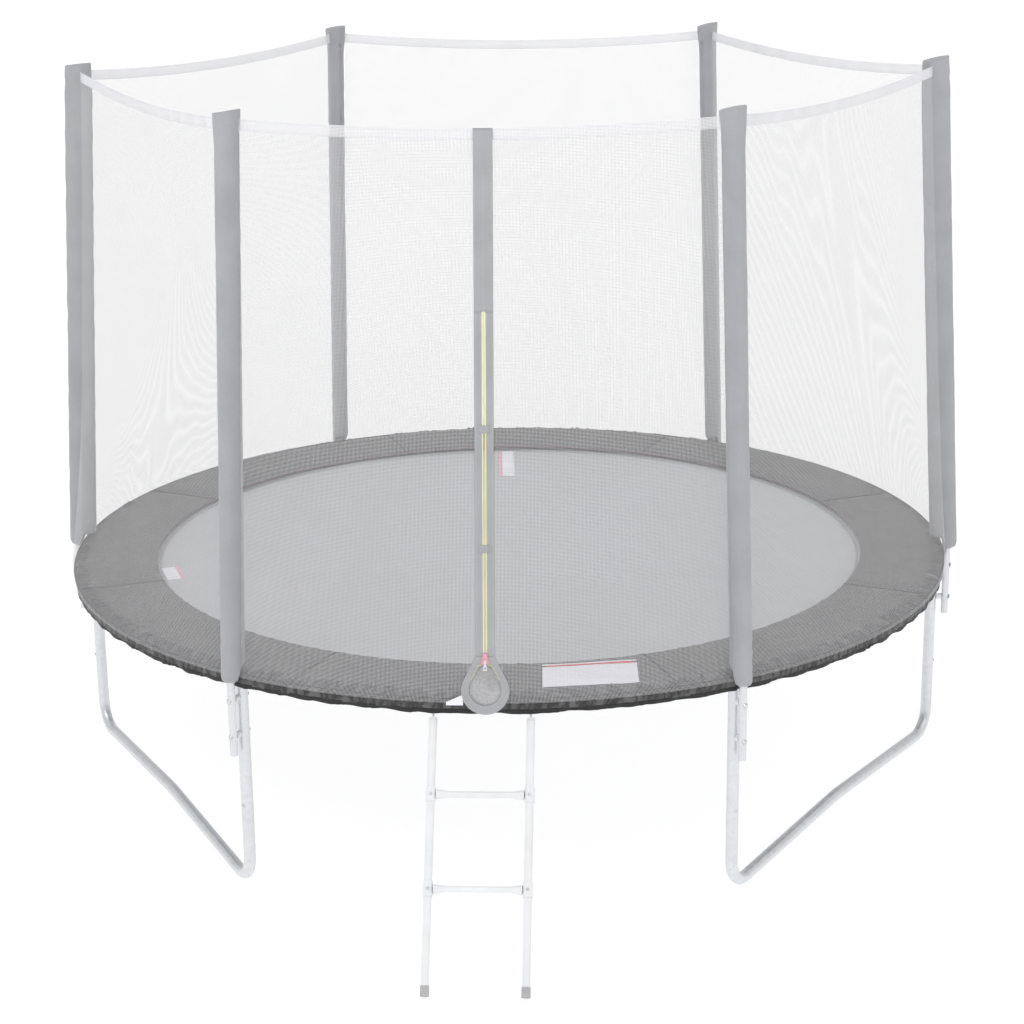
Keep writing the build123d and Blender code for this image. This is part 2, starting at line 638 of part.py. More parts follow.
# ---------------------------------------------------------------- zipped doorway
webbing_top = (NET_TOP_Z - NET_LOFT_Z) / cos(radians(NET_LEAN)) - 2
with BuildPart() as zip_webbing:
    with BuildSketch(door_plane(-WEBBING_THICKNESS / 2)):
        with BuildLine():
            Polyline(
                (-WEBBING_WIDTH / 2, LOOP_OPENING_TOP),
                (WEBBING_WIDTH / 2, LOOP_OPENING_TOP),
                (WEBBING_WIDTH / 2, webbing_top),
                (-WEBBING_WIDTH / 2, webbing_top),
                close=True,
            )
        make_face()
        with Locations((0, (ZIP_HIGH + LOOP_OPENING_TOP) / 2)):
            Rectangle(TEETH_SLOT, ZIP_HIGH - LOOP_OPENING_TOP, mode=Mode.SUBTRACT)
    extrude(amount=WEBBING_THICKNESS)
save(zip_webbing, "zip_webbing")

with BuildPart() as entry_loop:
    with BuildSketch(door_plane(LOOP_LIFT)):
        with Locations((0, LOOP_CENTRE)):
            Circle(LOOP_OUTER_R)
        with BuildLine():
            Polyline(
                (-WEBBING_WIDTH / 2, LOOP_TOP),
                (-LOOP_OUTER_R * SHOULDER_X, LOOP_CENTRE + LOOP_OUTER_R * SHOULDER_S),
                (LOOP_OUTER_R * SHOULDER_X, LOOP_CENTRE + LOOP_OUTER_R * SHOULDER_S),
                (WEBBING_WIDTH / 2, LOOP_TOP),
                close=True,
            )
        make_face()
        with Locations((0, LOOP_OPENING_CENTRE)):
            Circle(LOOP_OPENING_R, mode=Mode.SUBTRACT)
        with BuildLine():
            Polyline(
                (-18, LOOP_OPENING_TOP),
                (-LOOP_OPENING_R * SHOULDER_X, LOOP_OPENING_CENTRE + LOOP_OPENING_R * SHOULDER_S),
                (LOOP_OPENING_R * SHOULDER_X, LOOP_OPENING_CENTRE + LOOP_OPENING_R * SHOULDER_S),
                (18, LOOP_OPENING_TOP),
                close=True,
            )
        make_face(mode=Mode.SUBTRACT)
        with Locations((0, (LOOP_TOP + LOOP_OPENING_TOP) / 2)):
            Rectangle(TEETH_SLOT, LOOP_TOP - LOOP_OPENING_TOP + 2, mode=Mode.SUBTRACT)
    extrude(amount=WEBBING_THICKNESS)
save(entry_loop, "entry_loop")

with BuildPart() as zip_teeth:
    with BuildSketch(door_plane(-TEETH_THICKNESS / 2)):
        with Locations((0, (ZIP_HIGH + ZIP_LOW) / 2)):
            Rectangle(TEETH_WIDTH, ZIP_HIGH - ZIP_LOW - 2 * FIT_GAP)
    extrude(amount=TEETH_THICKNESS)
save(zip_teeth, "zip_teeth")

TAB_PLACES = [431, 782]
TAB_LIFT = TEETH_THICKNESS / 2 + 0.1
TAB_THICKNESS = 1.2
with BuildPart() as zip_tabs:
    for place in TAB_PLACES:
        with BuildSketch(door_plane(TAB_LIFT)):
            with Locations((0, place)):
                Rectangle(TAB_WIDTH, TAB_HEIGHT)
        extrude(amount=TAB_THICKNESS)
        for side in (-1, 1):
            with BuildSketch(door_plane(WEBBING_THICKNESS / 2)):
                with Locations((side * TAB_SEAM_X, place)):
                    Rectangle(TAB_SEAM, TAB_HEIGHT)
            extrude(amount=TAB_LIFT - WEBBING_THICKNESS / 2)
save(zip_tabs, "zip_tabs")

# the slider's front and back plates, clear of the teeth and the tabs as it runs
SLIDER_LOW = 90
SLIDER_HIGH = 122
SLIDER_GAP = LOOP_LIFT + WEBBING_THICKNESS + FIT_GAP
SLIDER_PLATE = 2.5
SLIDER_FOOT_HALF = 12
SLIDER_TIP_HALF = 5
EAR_SIZE = (2, 7)
EAR_RISE = 12
EAR_HEIGHT = 5
with BuildPart() as zip_slider:
    with BuildSketch(door_plane(SLIDER_GAP)) as slider_face:
        with BuildLine():
            Polyline(
                (-SLIDER_FOOT_HALF, SLIDER_LOW),
                (SLIDER_FOOT_HALF, SLIDER_LOW),
                (SLIDER_TIP_HALF, SLIDER_HIGH),
                (-SLIDER_TIP_HALF, SLIDER_HIGH),
                close=True,
            )
        make_face()
    extrude(amount=SLIDER_PLATE)
    with BuildSketch(door_plane(-TEETH_THICKNESS / 2 - FIT_GAP)):
        add(slider_face.sketch.moved(slider_face.workplanes[0].location.inverse()))
    extrude(amount=-SLIDER_PLATE)
    # two ears carry the pull's pin
    for side in (-1, 1):
        with BuildSketch(door_plane(SLIDER_GAP + SLIDER_PLATE)):
            with Locations((side * SLIDER_TIP_HALF, SLIDER_LOW + EAR_RISE)):
                Rectangle(*EAR_SIZE)
        extrude(amount=EAR_HEIGHT)
save(zip_slider, "zip_slider")

PIN_LIFT = SLIDER_GAP + SLIDER_PLATE + 2.5
PULL_LENGTH = 30
PULL_WIDTH = 12
PULL_THICKNESS = 1.8
PULL_EYE_R = 3
PULL_HEAD = 14
PULL_TOP = SLIDER_LOW + EAR_RISE
with BuildPart() as zip_pull:
    with BuildSketch(door_plane(PIN_LIFT - PULL_THICKNESS / 2)):
        with Locations((0, PULL_TOP + 1.5 - PULL_LENGTH / 2)):
            Rectangle(PULL_WIDTH - 5, PULL_LENGTH)
        with Locations((0, PULL_TOP - PULL_LENGTH + 6)):
            RectangleRounded(PULL_WIDTH, PULL_HEAD, PULL_EYE_R)
            Circle(PULL_EYE_R, mode=Mode.SUBTRACT)
    extrude(amount=PULL_THICKNESS)
save(zip_pull, "zip_pull")

# ---------------------------------------------------------------- ladder
for name, side in (("ladder_rail_left", -1), ("ladder_rail_right", 1)):
    with BuildPart() as ladder_rail:
        with BuildSketch(ladder_plane(LADDER_START)):
            with Locations((side * LADDER_HALF, 0)):
                Circle(LADDER_TUBE_R)
                Circle(LADDER_BORE_R, mode=Mode.SUBTRACT)
        extrude(amount=LADDER_LENGTH - LADDER_START - NECK)
        for place in RUNG_PLACES:
            with BuildSketch(ladder_face(0)):
                with Locations((side * LADDER_HALF, -place)):
                    Circle(TEE_HOLE_R)
            extrude(amount=LADDER_TUBE_R + 2, mode=Mode.SUBTRACT)
    save(ladder_rail, name)

rung_half = LADDER_HALF - TEE_R - FIT_GAP
for name, place in zip(("ladder_rung_upper", "ladder_rung_lower"), RUNG_PLACES):
    with BuildPart() as ladder_rung:
        rung_plane = ladder_face(0)
        with BuildSketch(rung_plane):
            with BuildLine():
                Polyline(
                    (-rung_half, -place + RUNG_BORE_R),
                    (-rung_half, -place + RUNG_FLARE_R),
                    (-rung_half + 8, -place + RUNG_FLARE_R),
                    (-rung_half + RUNG_FLARE, -place + RUNG_R),
                    (rung_half - RUNG_FLARE, -place + RUNG_R),
                    (rung_half - 8, -place + RUNG_FLARE_R),
                    (rung_half, -place + RUNG_FLARE_R),
                    (rung_half, -place + RUNG_BORE_R),
                    close=True,
                )
            make_face()
        revolve(axis=Axis(ladder_plane(place).origin, (1, 0, 0)), revolution_arc=360)
    save(ladder_rung, name)

with BuildPart() as ladder_tees:
    for side in (-1, 1):
        for place in RUNG_PLACES:
            with BuildSketch(ladder_plane(place - TEE_LENGTH / 2)):
                with Locations((side * LADDER_HALF, 0)):
                    Circle(TEE_R)
                    Circle(LADDER_TUBE_R + FIT_GAP, mode=Mode.SUBTRACT)
            extrude(amount=TEE_LENGTH)
            with BuildSketch(ladder_face(LADDER_TUBE_R)):
                with Locations((side * LADDER_HALF, -place)):
                    Circle(TEE_HOLE_R)
            extrude(amount=TEE_R, mode=Mode.SUBTRACT)
save(ladder_tees, "ladder_tees")

with BuildPart() as ladder_screws:
    for side in (-1, 1):
        for place in RUNG_PLACES:
            with BuildSketch(ladder_face(TEE_R)):
                with Locations((side * LADDER_HALF, -place)):
                    Circle(TEE_HEAD_R)
            extrude(amount=TEE_HEAD_HEIGHT, taper=HEAD_TAPER)
            with BuildSketch(ladder_face(TEE_R)):
                with Locations((side * LADDER_HALF, -place)):
                    Circle(TEE_SCREW_R)
            extrude(amount=-TEE_SCREW_DEPTH)
save(ladder_screws, "ladder_screws")

# each hook is a bent bar over the rim on a plug in the rail's top end
HOOK_R = TUBE_R + 0.8 + HOOK_BAR_R
HOOK_FROM = LADDER_TILT - 90
HOOK_TURN = 256
with BuildPart() as ladder_hooks:
    for side in (-1, 1):
        hook_centre = (side * LADDER_HALF, HINGE_Y, RIM_Z)
        with BuildLine(Plane(origin=hook_centre, x_dir=(0, -1, 0), z_dir=(-1, 0, 0))):
            hook_arc = CenterArc((0, 0), HOOK_R, HOOK_FROM, HOOK_TURN)
        with BuildSketch(Plane(origin=hook_arc @ 0, z_dir=hook_arc % 0)):
            Circle(HOOK_BAR_R)
        sweep(path=hook_arc)
        with BuildSketch(ladder_plane(HOOK_R)):
            with Locations((side * LADDER_HALF, 0)):
                Circle(HOOK_BAR_R)
        extrude(amount=LADDER_START - HOOK_R + 5)
        with BuildSketch(ladder_plane(LADDER_START - 4)):
            with Locations((side * LADDER_HALF, 0)):
                Circle(LADDER_BORE_R - FIT_GAP)
        extrude(amount=HOOK_PLUG)
save(ladder_hooks, "ladder_hooks")

with BuildPart() as ladder_caps:
    for side in (-1, 1):
        with BuildSketch(ladder_plane(LADDER_LENGTH - CAP_LENGTH)):
            with Locations((side * LADDER_HALF, 0)):
                Circle(CAP_R)
        extrude(amount=CAP_LENGTH)
        with BuildSketch(ladder_plane(LADDER_LENGTH - CAP_LENGTH)):
            with Locations((side * LADDER_HALF, 0)):
                Circle(LADDER_TUBE_R + FIT_GAP)
        extrude(amount=CAP_LENGTH - NECK + FIT_GAP, mode=Mode.SUBTRACT)
save(ladder_caps, "ladder_caps")
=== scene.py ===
import math

import bmesh
import bpy
import numpy as np
from mathutils import Matrix


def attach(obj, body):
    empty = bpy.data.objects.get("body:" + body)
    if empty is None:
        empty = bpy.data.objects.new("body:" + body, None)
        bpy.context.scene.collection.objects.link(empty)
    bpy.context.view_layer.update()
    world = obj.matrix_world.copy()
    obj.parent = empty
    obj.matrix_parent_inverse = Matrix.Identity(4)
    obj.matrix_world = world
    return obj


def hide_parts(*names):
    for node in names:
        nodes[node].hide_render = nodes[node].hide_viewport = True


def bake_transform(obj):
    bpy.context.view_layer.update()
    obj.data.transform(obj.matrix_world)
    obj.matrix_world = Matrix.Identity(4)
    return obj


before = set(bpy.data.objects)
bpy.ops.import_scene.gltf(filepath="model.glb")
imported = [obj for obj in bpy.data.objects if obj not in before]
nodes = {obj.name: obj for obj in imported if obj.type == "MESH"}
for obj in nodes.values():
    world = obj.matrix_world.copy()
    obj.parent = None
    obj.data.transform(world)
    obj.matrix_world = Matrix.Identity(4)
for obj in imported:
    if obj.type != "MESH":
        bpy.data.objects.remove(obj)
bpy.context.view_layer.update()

pi = math.pi

# ---- dimensions, in metres
FLOOR_Z = -0.715
RIM_R = 1.506
RIM_Z = -0.017
RIM_TUBE_R = 0.019
STEP = 60
POLE_ANGLES = [STEP / 2 + STEP * k for k in range(6)]

POLE_RING_R = 1.556
POLE_BEND_Z = -0.010
POLE_LEAN = math.atan2(POLE_RING_R - 1.457, 1.719 - POLE_BEND_Z)
SLEEVE_BOTTOM = 0.048
SLEEVE_DROOP = 0.040
SLEEVE_TOP = 1.722
SLEEVE_RADIAL = 0.0475
SLEEVE_TANGENT = 0.0285
SLEEVE_OFFSET = -0.012
SLEEVE_SEAM_R = 0.0022
FOAM_R = 0.0225
FOAM_NECK_R = 0.0165

MAT_R = 1.238
MAT_BORDER_R = 1.322
MAT_THICKNESS = 0.003
SPRING_COUNT = 60
SPRING_INNER_END = 1.358
SPRING_OUTER_END = 1.474
HOOK_HOLE_R = 1.494
V_RING_R = 1.343
WIRE_R = 0.0015

PAD_INNER_R = 1.246
PAD_OUTER_R = 1.534
PAD_BOTTOM_Z = 0.0105
PAD_EDGE_Z = 0.019
PAD_CROWN = 0.014
PAD_EDGE_DROP = 0.006
INNER_PUCKER = 0.0011
OUTER_PUCKER = 0.0062
CREASED_SHARE = 0.845
PAD_SEAMS = [22.5 + 45 * k for k in range(8)]
SKIRT_R = 1.5325
SKIRT_TOP_Z = 0.012
SKIRT_BOTTOM_Z = -0.031
SKIRT_THICKNESS = 0.0013
# height of the near-black painted shade along the skirt's lower edge
PAINTED_SHADE_HEIGHT = 0.014
SKIRT_CREASE = 0.0024
SKIRT_GATHER = 0.0012
SKIRT_TUCK = 0.003
SKIRT_HEM_WAVE = 0.0028
HOOK_ANGLE = 5.5
STRAP_COUNT = 12
STRAP_ANGLE = 12
STRAP_HALF = 0.0075
PIPING_R = 0.0024
WELT_R = 0.0023

NET_R = 1.538
NET_BOTTOM_Z = -0.024
NET_HANG_Z = 0.006
NET_LOFT_Z = 0.036
NET_TOP_Z = 1.654
NET_TOP_MIDDLE = 1.2546
NET_TOP_HALF = 0.6884
NET_BOTTOM_HALF = STEP / 2 - math.degrees(math.asin(0.0305 / NET_R))
NET_LEAN = math.atan2(NET_R - NET_TOP_MIDDLE, NET_TOP_Z - NET_LOFT_Z)
NET_SAG = 0.030
NET_RUCK = 0.0014
NET_BOW = 0.016
HEM_HEIGHT = 0.034

ZIP_X = 0.012
TAPE_HALF = 0.0285
TAPE_THICKNESS = 0.0024
TEETH_HALF = 0.004
DOOR_HALF = TAPE_HALF + 0.0003
ZIP_LOW = 0.124
ZIP_HIGH = 1.122
TAPE_LOW = 0.083
TAPE_RISE = 0.0036
LOOP_LIFT = 0.0013
PATCH_PLACES = (0.431, 0.782)
PATCH_HALF_HEIGHT = 0.011
PATCH_HALF_WIDTH = 0.015


# ---- places
def outward(angle):
    """Unit vector away from the centre at an angle round the rim."""
    a = math.radians(angle)
    return np.array([math.sin(a), -math.cos(a), 0.0])


def tangent(angle):
    a = math.radians(angle)
    return np.array([math.cos(a), math.sin(a), 0.0])


UP = np.array([0.0, 0.0, 1.0])
DOOR_UP = np.array([0.0, math.sin(NET_LEAN), math.cos(NET_LEAN)])
DOOR_OUT = np.array([0.0, -math.cos(NET_LEAN), math.sin(NET_LEAN)])
DOOR_FOOT = np.array([ZIP_X, -NET_R, NET_LOFT_Z])


def on_door(x, s, lift):
    """Points of the zipped doorway: x across, s up the slope, lift out of it."""
    x, s, lift = np.broadcast_arrays(np.asarray(x, float), s, lift)
    across = x[..., None] * np.array([1.0, 0.0, 0.0])
    return DOOR_FOOT + across + s[..., None] * DOOR_UP + lift[..., None] * DOOR_OUT


def waves(x, seed, count, low, high):
    """Smooth, repeatable unevenness of about -1 to 1 along x."""
    draw = np.random.RandomState(seed)
    total = np.zeros_like(np.asarray(x, float))
    for _ in range(count):
        total = total + np.sin(np.asarray(x) * draw.uniform(low, high) + draw.uniform(0, 2 * pi))
    return total / math.sqrt(count) / 1.4


def round_waves(turn, seed, count, low, high):
    """The same, closed round a full turn."""
    draw = np.random.RandomState(seed)
    total = np.zeros_like(turn)
    for _ in range(count):
        total = total + np.sin(turn * draw.randint(low, high) + draw.uniform(0, 2 * pi))
    return total / math.sqrt(count) / 1.4


def smooth(t):
    t = np.clip(t, 0, 1)
    return t * t * (3 - 2 * t)


# ---- mesh making
class Shape:
    """Vertices, faces and a cloth coordinate in metres for each face corner."""

    def __init__(self):
        self.points, self.faces, self.uvs, self.count = [], [], [], 0

    def grid(self, points, uv, wrap=(False, False)):
        """A sheet of quads over an array of points, closed in a direction where wrap says so."""
        nu, nv = points.shape[:2]
        i, j = np.meshgrid(
            np.arange(nu if wrap[0] else nu - 1), np.arange(nv if wrap[1] else nv - 1), indexing="ij"
        )
        i2, j2 = (i + 1) % nu, (j + 1) % nv
        quads = np.stack([i * nv + j, i2 * nv + j, i2 * nv + j2, i * nv + j2], -1).reshape(-1, 4)
        corner_uv = np.stack([uv[i, j], uv[i + 1, j], uv[i + 1, j + 1], uv[i, j + 1]], -2)
        self.faces += (quads + self.count).tolist()
        self.uvs.append(corner_uv.reshape(-1, 2))
        self.points.append(points.reshape(-1, 3))
        self.count += nu * nv
        return self

    def cap(self, indices):
        """One flat face over a ring of vertices."""
        self.faces.append([int(k) for k in indices])
        self.uvs.append(np.zeros((len(indices), 2)))
        return self

    def tube(self, path, radius, sides=8, closed=False, up=None):
        """A round rod along a path, with flat ends if it isn't closed."""
        path = np.asarray(path, float)
        n = len(path)
        ahead = np.roll(path, -1, 0) - np.roll(path, 1, 0)
        if not closed:
            ahead[0], ahead[-1] = path[1] - path[0], path[-1] - path[-2]
        ahead /= np.linalg.norm(ahead, axis=1)[:, None]
        side = np.cross(ahead, UP if up is None else up)
        side /= np.linalg.norm(side, axis=1)[:, None]
        rise = np.cross(side, ahead)
        turn = np.linspace(0, 2 * pi, sides, endpoint=False)
        ring = np.cos(turn)[None, :, None] * side[:, None] + np.sin(turn)[None, :, None] * rise[:, None]
        radius = np.broadcast_to(np.asarray(radius, float), (n,))
        points = path[:, None] + radius[:, None, None] * ring
        steps = np.linalg.norm(np.diff(path, axis=0), axis=1)
        along = np.concatenate([[0], np.cumsum(steps), [steps.sum() + steps[-1]]])[: n + 1]
        around = np.linspace(0, 2 * pi * float(radius.mean()), sides + 1)
        uv = np.stack(np.meshgrid(along, around, indexing="ij"), -1)
        first = self.count
        self.grid(points, uv, (closed, True))
        if not closed:
            self.cap(range(first + sides - 1, first - 1, -1))
            self.cap(range(first + (n - 1) * sides, first + n * sides))
        return self

    def band(self, middle, across, out, half, thick, uv_along):
        """A strap along middle: across and out are its directions at each point, with rounded edges."""
        profile = [(-1, 0), (-0.97, 0.75), (-0.8, 1), (0, 1), (0.8, 1), (0.97, 0.75)]
        profile += [(-a, -b) for a, b in profile]
        profile = np.array(profile)
        half = np.broadcast_to(np.asarray(half, float), (len(middle),))
        side = profile[None, :, 0, None] * half[:, None, None] * across[:, None]
        points = middle[:, None] + side + profile[None, :, 1, None] * (thick / 2) * out[:, None]
        reach = np.concatenate([profile[:, 0], [-1]]) * float(half.mean())
        uv = np.stack(np.meshgrid(uv_along, reach, indexing="ij"), -1)
        first, m = self.count, len(profile)
        self.grid(points, uv, (False, True))
        self.cap(range(first + m - 1, first - 1, -1))
        self.cap(range(first + (len(middle) - 1) * m, first + len(middle) * m))
        return self

    def studs(self, centres, along, across, out, size):
        """Small rounded blocks, such as stitches and zip teeth: size is (length, width, height)."""
        ring = np.array([(-1, 0), (-0.7, 0.8), (0.7, 0.8), (1, 0), (0.7, -0.8), (-0.7, -0.8)])
        levels = [(0, 1.0), (0.75, 0.85), (1, 0.35)]
        for c, a, b, o in zip(centres, along, across, out):
            rows = []
            for level, keep in levels:
                flat = ring[:, 0, None] * a * size[0] / 2 + ring[:, 1, None] * b * size[1] / 2
                rows.append(c + flat * keep + o * size[2] * level)
            first = self.count
            self.grid(np.array(rows), np.zeros((4, 7, 2)), (False, True))
            self.cap(range(first + 5, first - 1, -1))
            self.cap(range(first + 12, first + 18))
        return self

    def make(self, name, *materials):
        mesh = bpy.data.meshes.new(name)
        mesh.from_pydata(np.concatenate(self.points).tolist(), [], self.faces)
        layer = mesh.uv_layers.new(name="cloth")
        layer.data.foreach_set("uv", np.concatenate(self.uvs).astype(np.float32).ravel())
        mesh.validate()
        mesh.polygons.foreach_set("use_smooth", [True] * len(mesh.polygons))
        piece = bpy.data.objects.new(name, mesh)
        bpy.context.scene.collection.objects.link(piece)
        for material in materials:
            mesh.materials.append(material)
        return piece


def finish_piece(piece, body, replaced=()):
    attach(piece, body)
    if replaced:
        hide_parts(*replaced)
    return piece


def dish(piece, replaced=()):
    """Bakes the piece's placement into its mesh, and hides the parts it replaces."""
    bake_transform(piece)
    if replaced:
        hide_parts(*replaced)
    return piece


# ---- materials
class Paint:
    """A procedural material: base colour, roughness and bump from its own nodes."""

    def __init__(self, name, colour, rough, metallic=0.0):
        self.material = bpy.data.materials.new(name)
        self.material.use_nodes = True
        self.tree = self.material.node_tree
        self.shader = self.tree.nodes["Principled BSDF"]
        self.shader.inputs["Base Color"].default_value = (*colour, 1)
        self.shader.inputs["Roughness"].default_value = rough
        self.shader.inputs["Metallic"].default_value = metallic
        self.colour, self.rough = colour, rough
        self.height = None

    def node(self, kind, inputs=(), **settings):
        made = self.tree.nodes.new(kind)
        for key, value in settings.items():
            setattr(made, key, value)
        for key, value in dict(inputs).items():
            if hasattr(value, "links"):
                self.tree.links.new(value, made.inputs[key])
            else:
                made.inputs[key].default_value = value
        return made

    def place(self):
        return self.node("ShaderNodeTexCoord").outputs["Object"]

    def cloth(self):
        return self.node("ShaderNodeUVMap", uv_map="cloth").outputs["UV"]

    def maths(self, operation, a, b=0.0, c=0.0):
        return self.node("ShaderNodeMath", {0: a, 1: b, 2: c}, operation=operation).outputs[0]

    def noise(self, vector, scale, detail=3.0):
        inputs = {"Vector": vector, "Scale": scale, "Detail": detail}
        return self.node("ShaderNodeTexNoise", inputs).outputs["Fac"]

    def cells(self, vector, scale, feature="F1"):
        inputs = {"Vector": vector, "Scale": scale}
        return self.node("ShaderNodeTexVoronoi", inputs, feature=feature)

    def stretched(self, vector, scale):
        return self.node("ShaderNodeMapping", {"Vector": vector, "Scale": scale}).outputs["Vector"]

    def spread(self, value, low, high, to_low, to_high):
        inputs = {"Value": value, "From Min": low, "From Max": high, "To Min": to_low, "To Max": to_high}
        return self.node("ShaderNodeMapRange", inputs).outputs["Result"]

    def tint(self, value, dark, light, low=0.3, high=0.7):
        """Base colour from dark to light times the paint's colour, as value goes from low to high."""
        ramp = self.node("ShaderNodeValToRGB", {"Fac": value})
        for element, place, share in zip(ramp.color_ramp.elements, (low, high), (dark, light)):
            element.position = place
            element.color = (*[min(1.0, c * share) for c in self.colour], 1)
        self.tree.links.new(ramp.outputs["Color"], self.shader.inputs["Base Color"])
        return self

    def gloss(self, value, low, high):
        self.tree.links.new(self.spread(value, 0.3, 0.7, low, high), self.shader.inputs["Roughness"])
        return self

    def raise_by(self, value, metres):
        """Adds value, times metres, to the bump."""
        part = self.maths("MULTIPLY", value, metres)
        self.height = part if self.height is None else self.maths("ADD", self.height, part)
        return self

    def done(self):
        if self.height is not None:
            bump = self.node("ShaderNodeBump", {"Height": self.height, "Distance": 1.0, "Strength": 1.0})
            self.tree.links.new(bump.outputs["Normal"], self.shader.inputs["Normal"])
        return self.material

    def weave(self, pitch, metres):
        """Threads over and under each other, pitch metres apart."""
        split = self.node("ShaderNodeSeparateXYZ", {0: self.cloth()})
        u = self.maths("SINE", self.maths("MULTIPLY", split.outputs[0], 2 * pi / pitch))
        v = self.maths("SINE", self.maths("MULTIPLY", split.outputs[1], 2 * pi / pitch))
        threads = self.maths("MULTIPLY", u, v)
        self.raise_by(threads, metres)
        return threads


def cloth_paint(name, colour, rough, pitch, relief, dark=0.9, light=1.06, sheen=0.15):
    paint = Paint(name, colour, rough)
    paint.shader.inputs["Sheen Weight"].default_value = sheen
    paint.shader.inputs["Sheen Roughness"].default_value = 0.5
    place = paint.place()
    threads = paint.weave(pitch, relief)
    cloudy = paint.noise(place, 9.0, 5.0)
    fine = paint.noise(place, 160.0, 2.0)
    mixed = paint.maths("ADD", paint.maths("MULTIPLY", cloudy, 0.7), paint.maths("MULTIPLY", fine, 0.3))
    mixed = paint.maths("ADD", mixed, paint.maths("MULTIPLY", threads, 0.05))
    paint.tint(mixed, dark, light)
    paint.gloss(fine, rough - 0.08, rough + 0.08)
    paint.raise_by(paint.noise(place, 38.0, 3.0), relief * 3)
    return paint.done()


def crease_shaded_paint(name, colour, rough):
    """Thin cloth gathered into small sharp creases, with painted shade in the valleys and painted highlights
    on the ridges.
    """
    paint = Paint(name, colour, rough)
    creases = paint.noise(paint.stretched(paint.cloth(), (24.0, 10.0, 1.0)), 1.0, 3.0)
    crease_relief_and_shade = paint.maths("ABSOLUTE", paint.maths("SUBTRACT", creases, 0.5))
    # painted shade and highlight: the colour runs from 0.35 times the cloth's own in the crease valleys to 2.1
    # times on the ridges
    paint.tint(crease_relief_and_shade, 0.35, 2.1, 0.0, 0.13)
    paint.gloss(creases, rough - 0.08, rough + 0.08)
    paint.raise_by(crease_relief_and_shade, 0.014)
    paint.weave(0.0012, 0.0001)
    return paint.done()


def metal_paint(name, colour, rough, spangle, metallic=0.85, dark=0.9, light=1.04):
    paint = Paint(name, colour, rough, metallic)
    place = paint.place()
    crystals = paint.cells(place, spangle).outputs["Color"]
    grey = paint.node("ShaderNodeRGBToBW", {0: crystals}).outputs[0]
    cloudy = paint.noise(place, 6.0, 6.0)
    mixed = paint.maths("ADD", paint.maths("MULTIPLY", grey, 0.4), paint.maths("MULTIPLY", cloudy, 0.6))
    paint.tint(mixed, dark, light)
    uneven = paint.maths("MULTIPLY_ADD", grey, 0.5, paint.maths("MULTIPLY", cloudy, 0.5))
    paint.gloss(uneven, rough - 0.1, rough + 0.1)
    paint.raise_by(paint.noise(place, 220.0, 3.0), 0.00006)
    return paint.done()


def plastic_paint(name, colour, rough, grain=600.0, relief=0.00005, dark=0.94, light=1.03):
    paint = Paint(name, colour, rough)
    place = paint.place()
    cloudy = paint.noise(place, 14.0, 5.0)
    paint.tint(cloudy, dark, light)
    fine = paint.noise(place, grain, 2.0)
    paint.gloss(fine, rough - 0.06, rough + 0.06)
    paint.raise_by(fine, relief)
    return paint.done()


def net_paint(name, colour, pitch, thread, painted_glow):
    """Knitted mesh: a square grid of round-cornered holes."""
    paint = Paint(name, colour, 0.7)
    paint.shader.inputs["Sheen Weight"].default_value = 0.1
    # emission here is painted glow, to make a cloth that is no lamp look brighter
    paint.shader.inputs["Emission Color"].default_value = (0.95, 0.96, 1.0, 1)
    paint.shader.inputs["Emission Strength"].default_value = painted_glow
    split = paint.node("ShaderNodeSeparateXYZ", {0: paint.cloth()})
    u = paint.maths("MULTIPLY", split.outputs[0], 1 / pitch)
    v = paint.maths("MULTIPLY", split.outputs[1], 1 / pitch)
    across = paint.maths("ABSOLUTE", paint.maths("SUBTRACT", paint.maths("FRACT", u), 0.5))
    along = paint.maths("ABSOLUTE", paint.maths("SUBTRACT", paint.maths("FRACT", v), 0.5))
    cubes = paint.maths("ADD", paint.maths("POWER", across, 3.0), paint.maths("POWER", along, 3.0))
    reach = paint.maths("POWER", cubes, 1 / 3)
    edge = 0.5 - thread / pitch / 2
    solid = paint.spread(reach, edge - 0.03, edge + 0.03, 0.0, 1.0)
    paint.tree.links.new(solid, paint.shader.inputs["Alpha"])
    paint.tint(paint.noise(paint.place(), 5.0, 4.0), 0.95, 1.0)
    paint.raise_by(solid, 0.0002)
    return paint.done()


galvanised = metal_paint("galvanised_steel", (0.74, 0.75, 0.77), 0.42, 70.0)
zinc = metal_paint("zinc_plate", (0.66, 0.67, 0.69), 0.32, 260.0, 0.95)
spring_steel = metal_paint("spring_steel", (0.58, 0.59, 0.61), 0.28, 300.0, 0.95)
white_coat = plastic_paint("white_powder_coat", (0.86, 0.87, 0.885), 0.38, 900.0)
white_plastic = plastic_paint("white_plastic", (0.82, 0.83, 0.84), 0.45)
foot_plastic = plastic_paint("foot_plastic", (0.50, 0.50, 0.515), 0.5)
foam_paint = plastic_paint("closed_cell_foam", (0.62, 0.62, 0.63), 0.9, 320.0, 0.0004)
sleeve_cloth = cloth_paint("sleeve_cloth", (0.41, 0.415, 0.43), 0.78, 0.0011, 0.00008)
pad_cloth = cloth_paint("pad_cloth", (0.118, 0.118, 0.119), 0.62, 0.0012, 0.00010, 0.80, 1.15, 0.05)
# the skirt's cloth, with painted shade in its creases and painted highlights on their ridges
skirt_cloth = crease_shaded_paint("skirt_cloth", (0.055, 0.055, 0.056), 0.45)
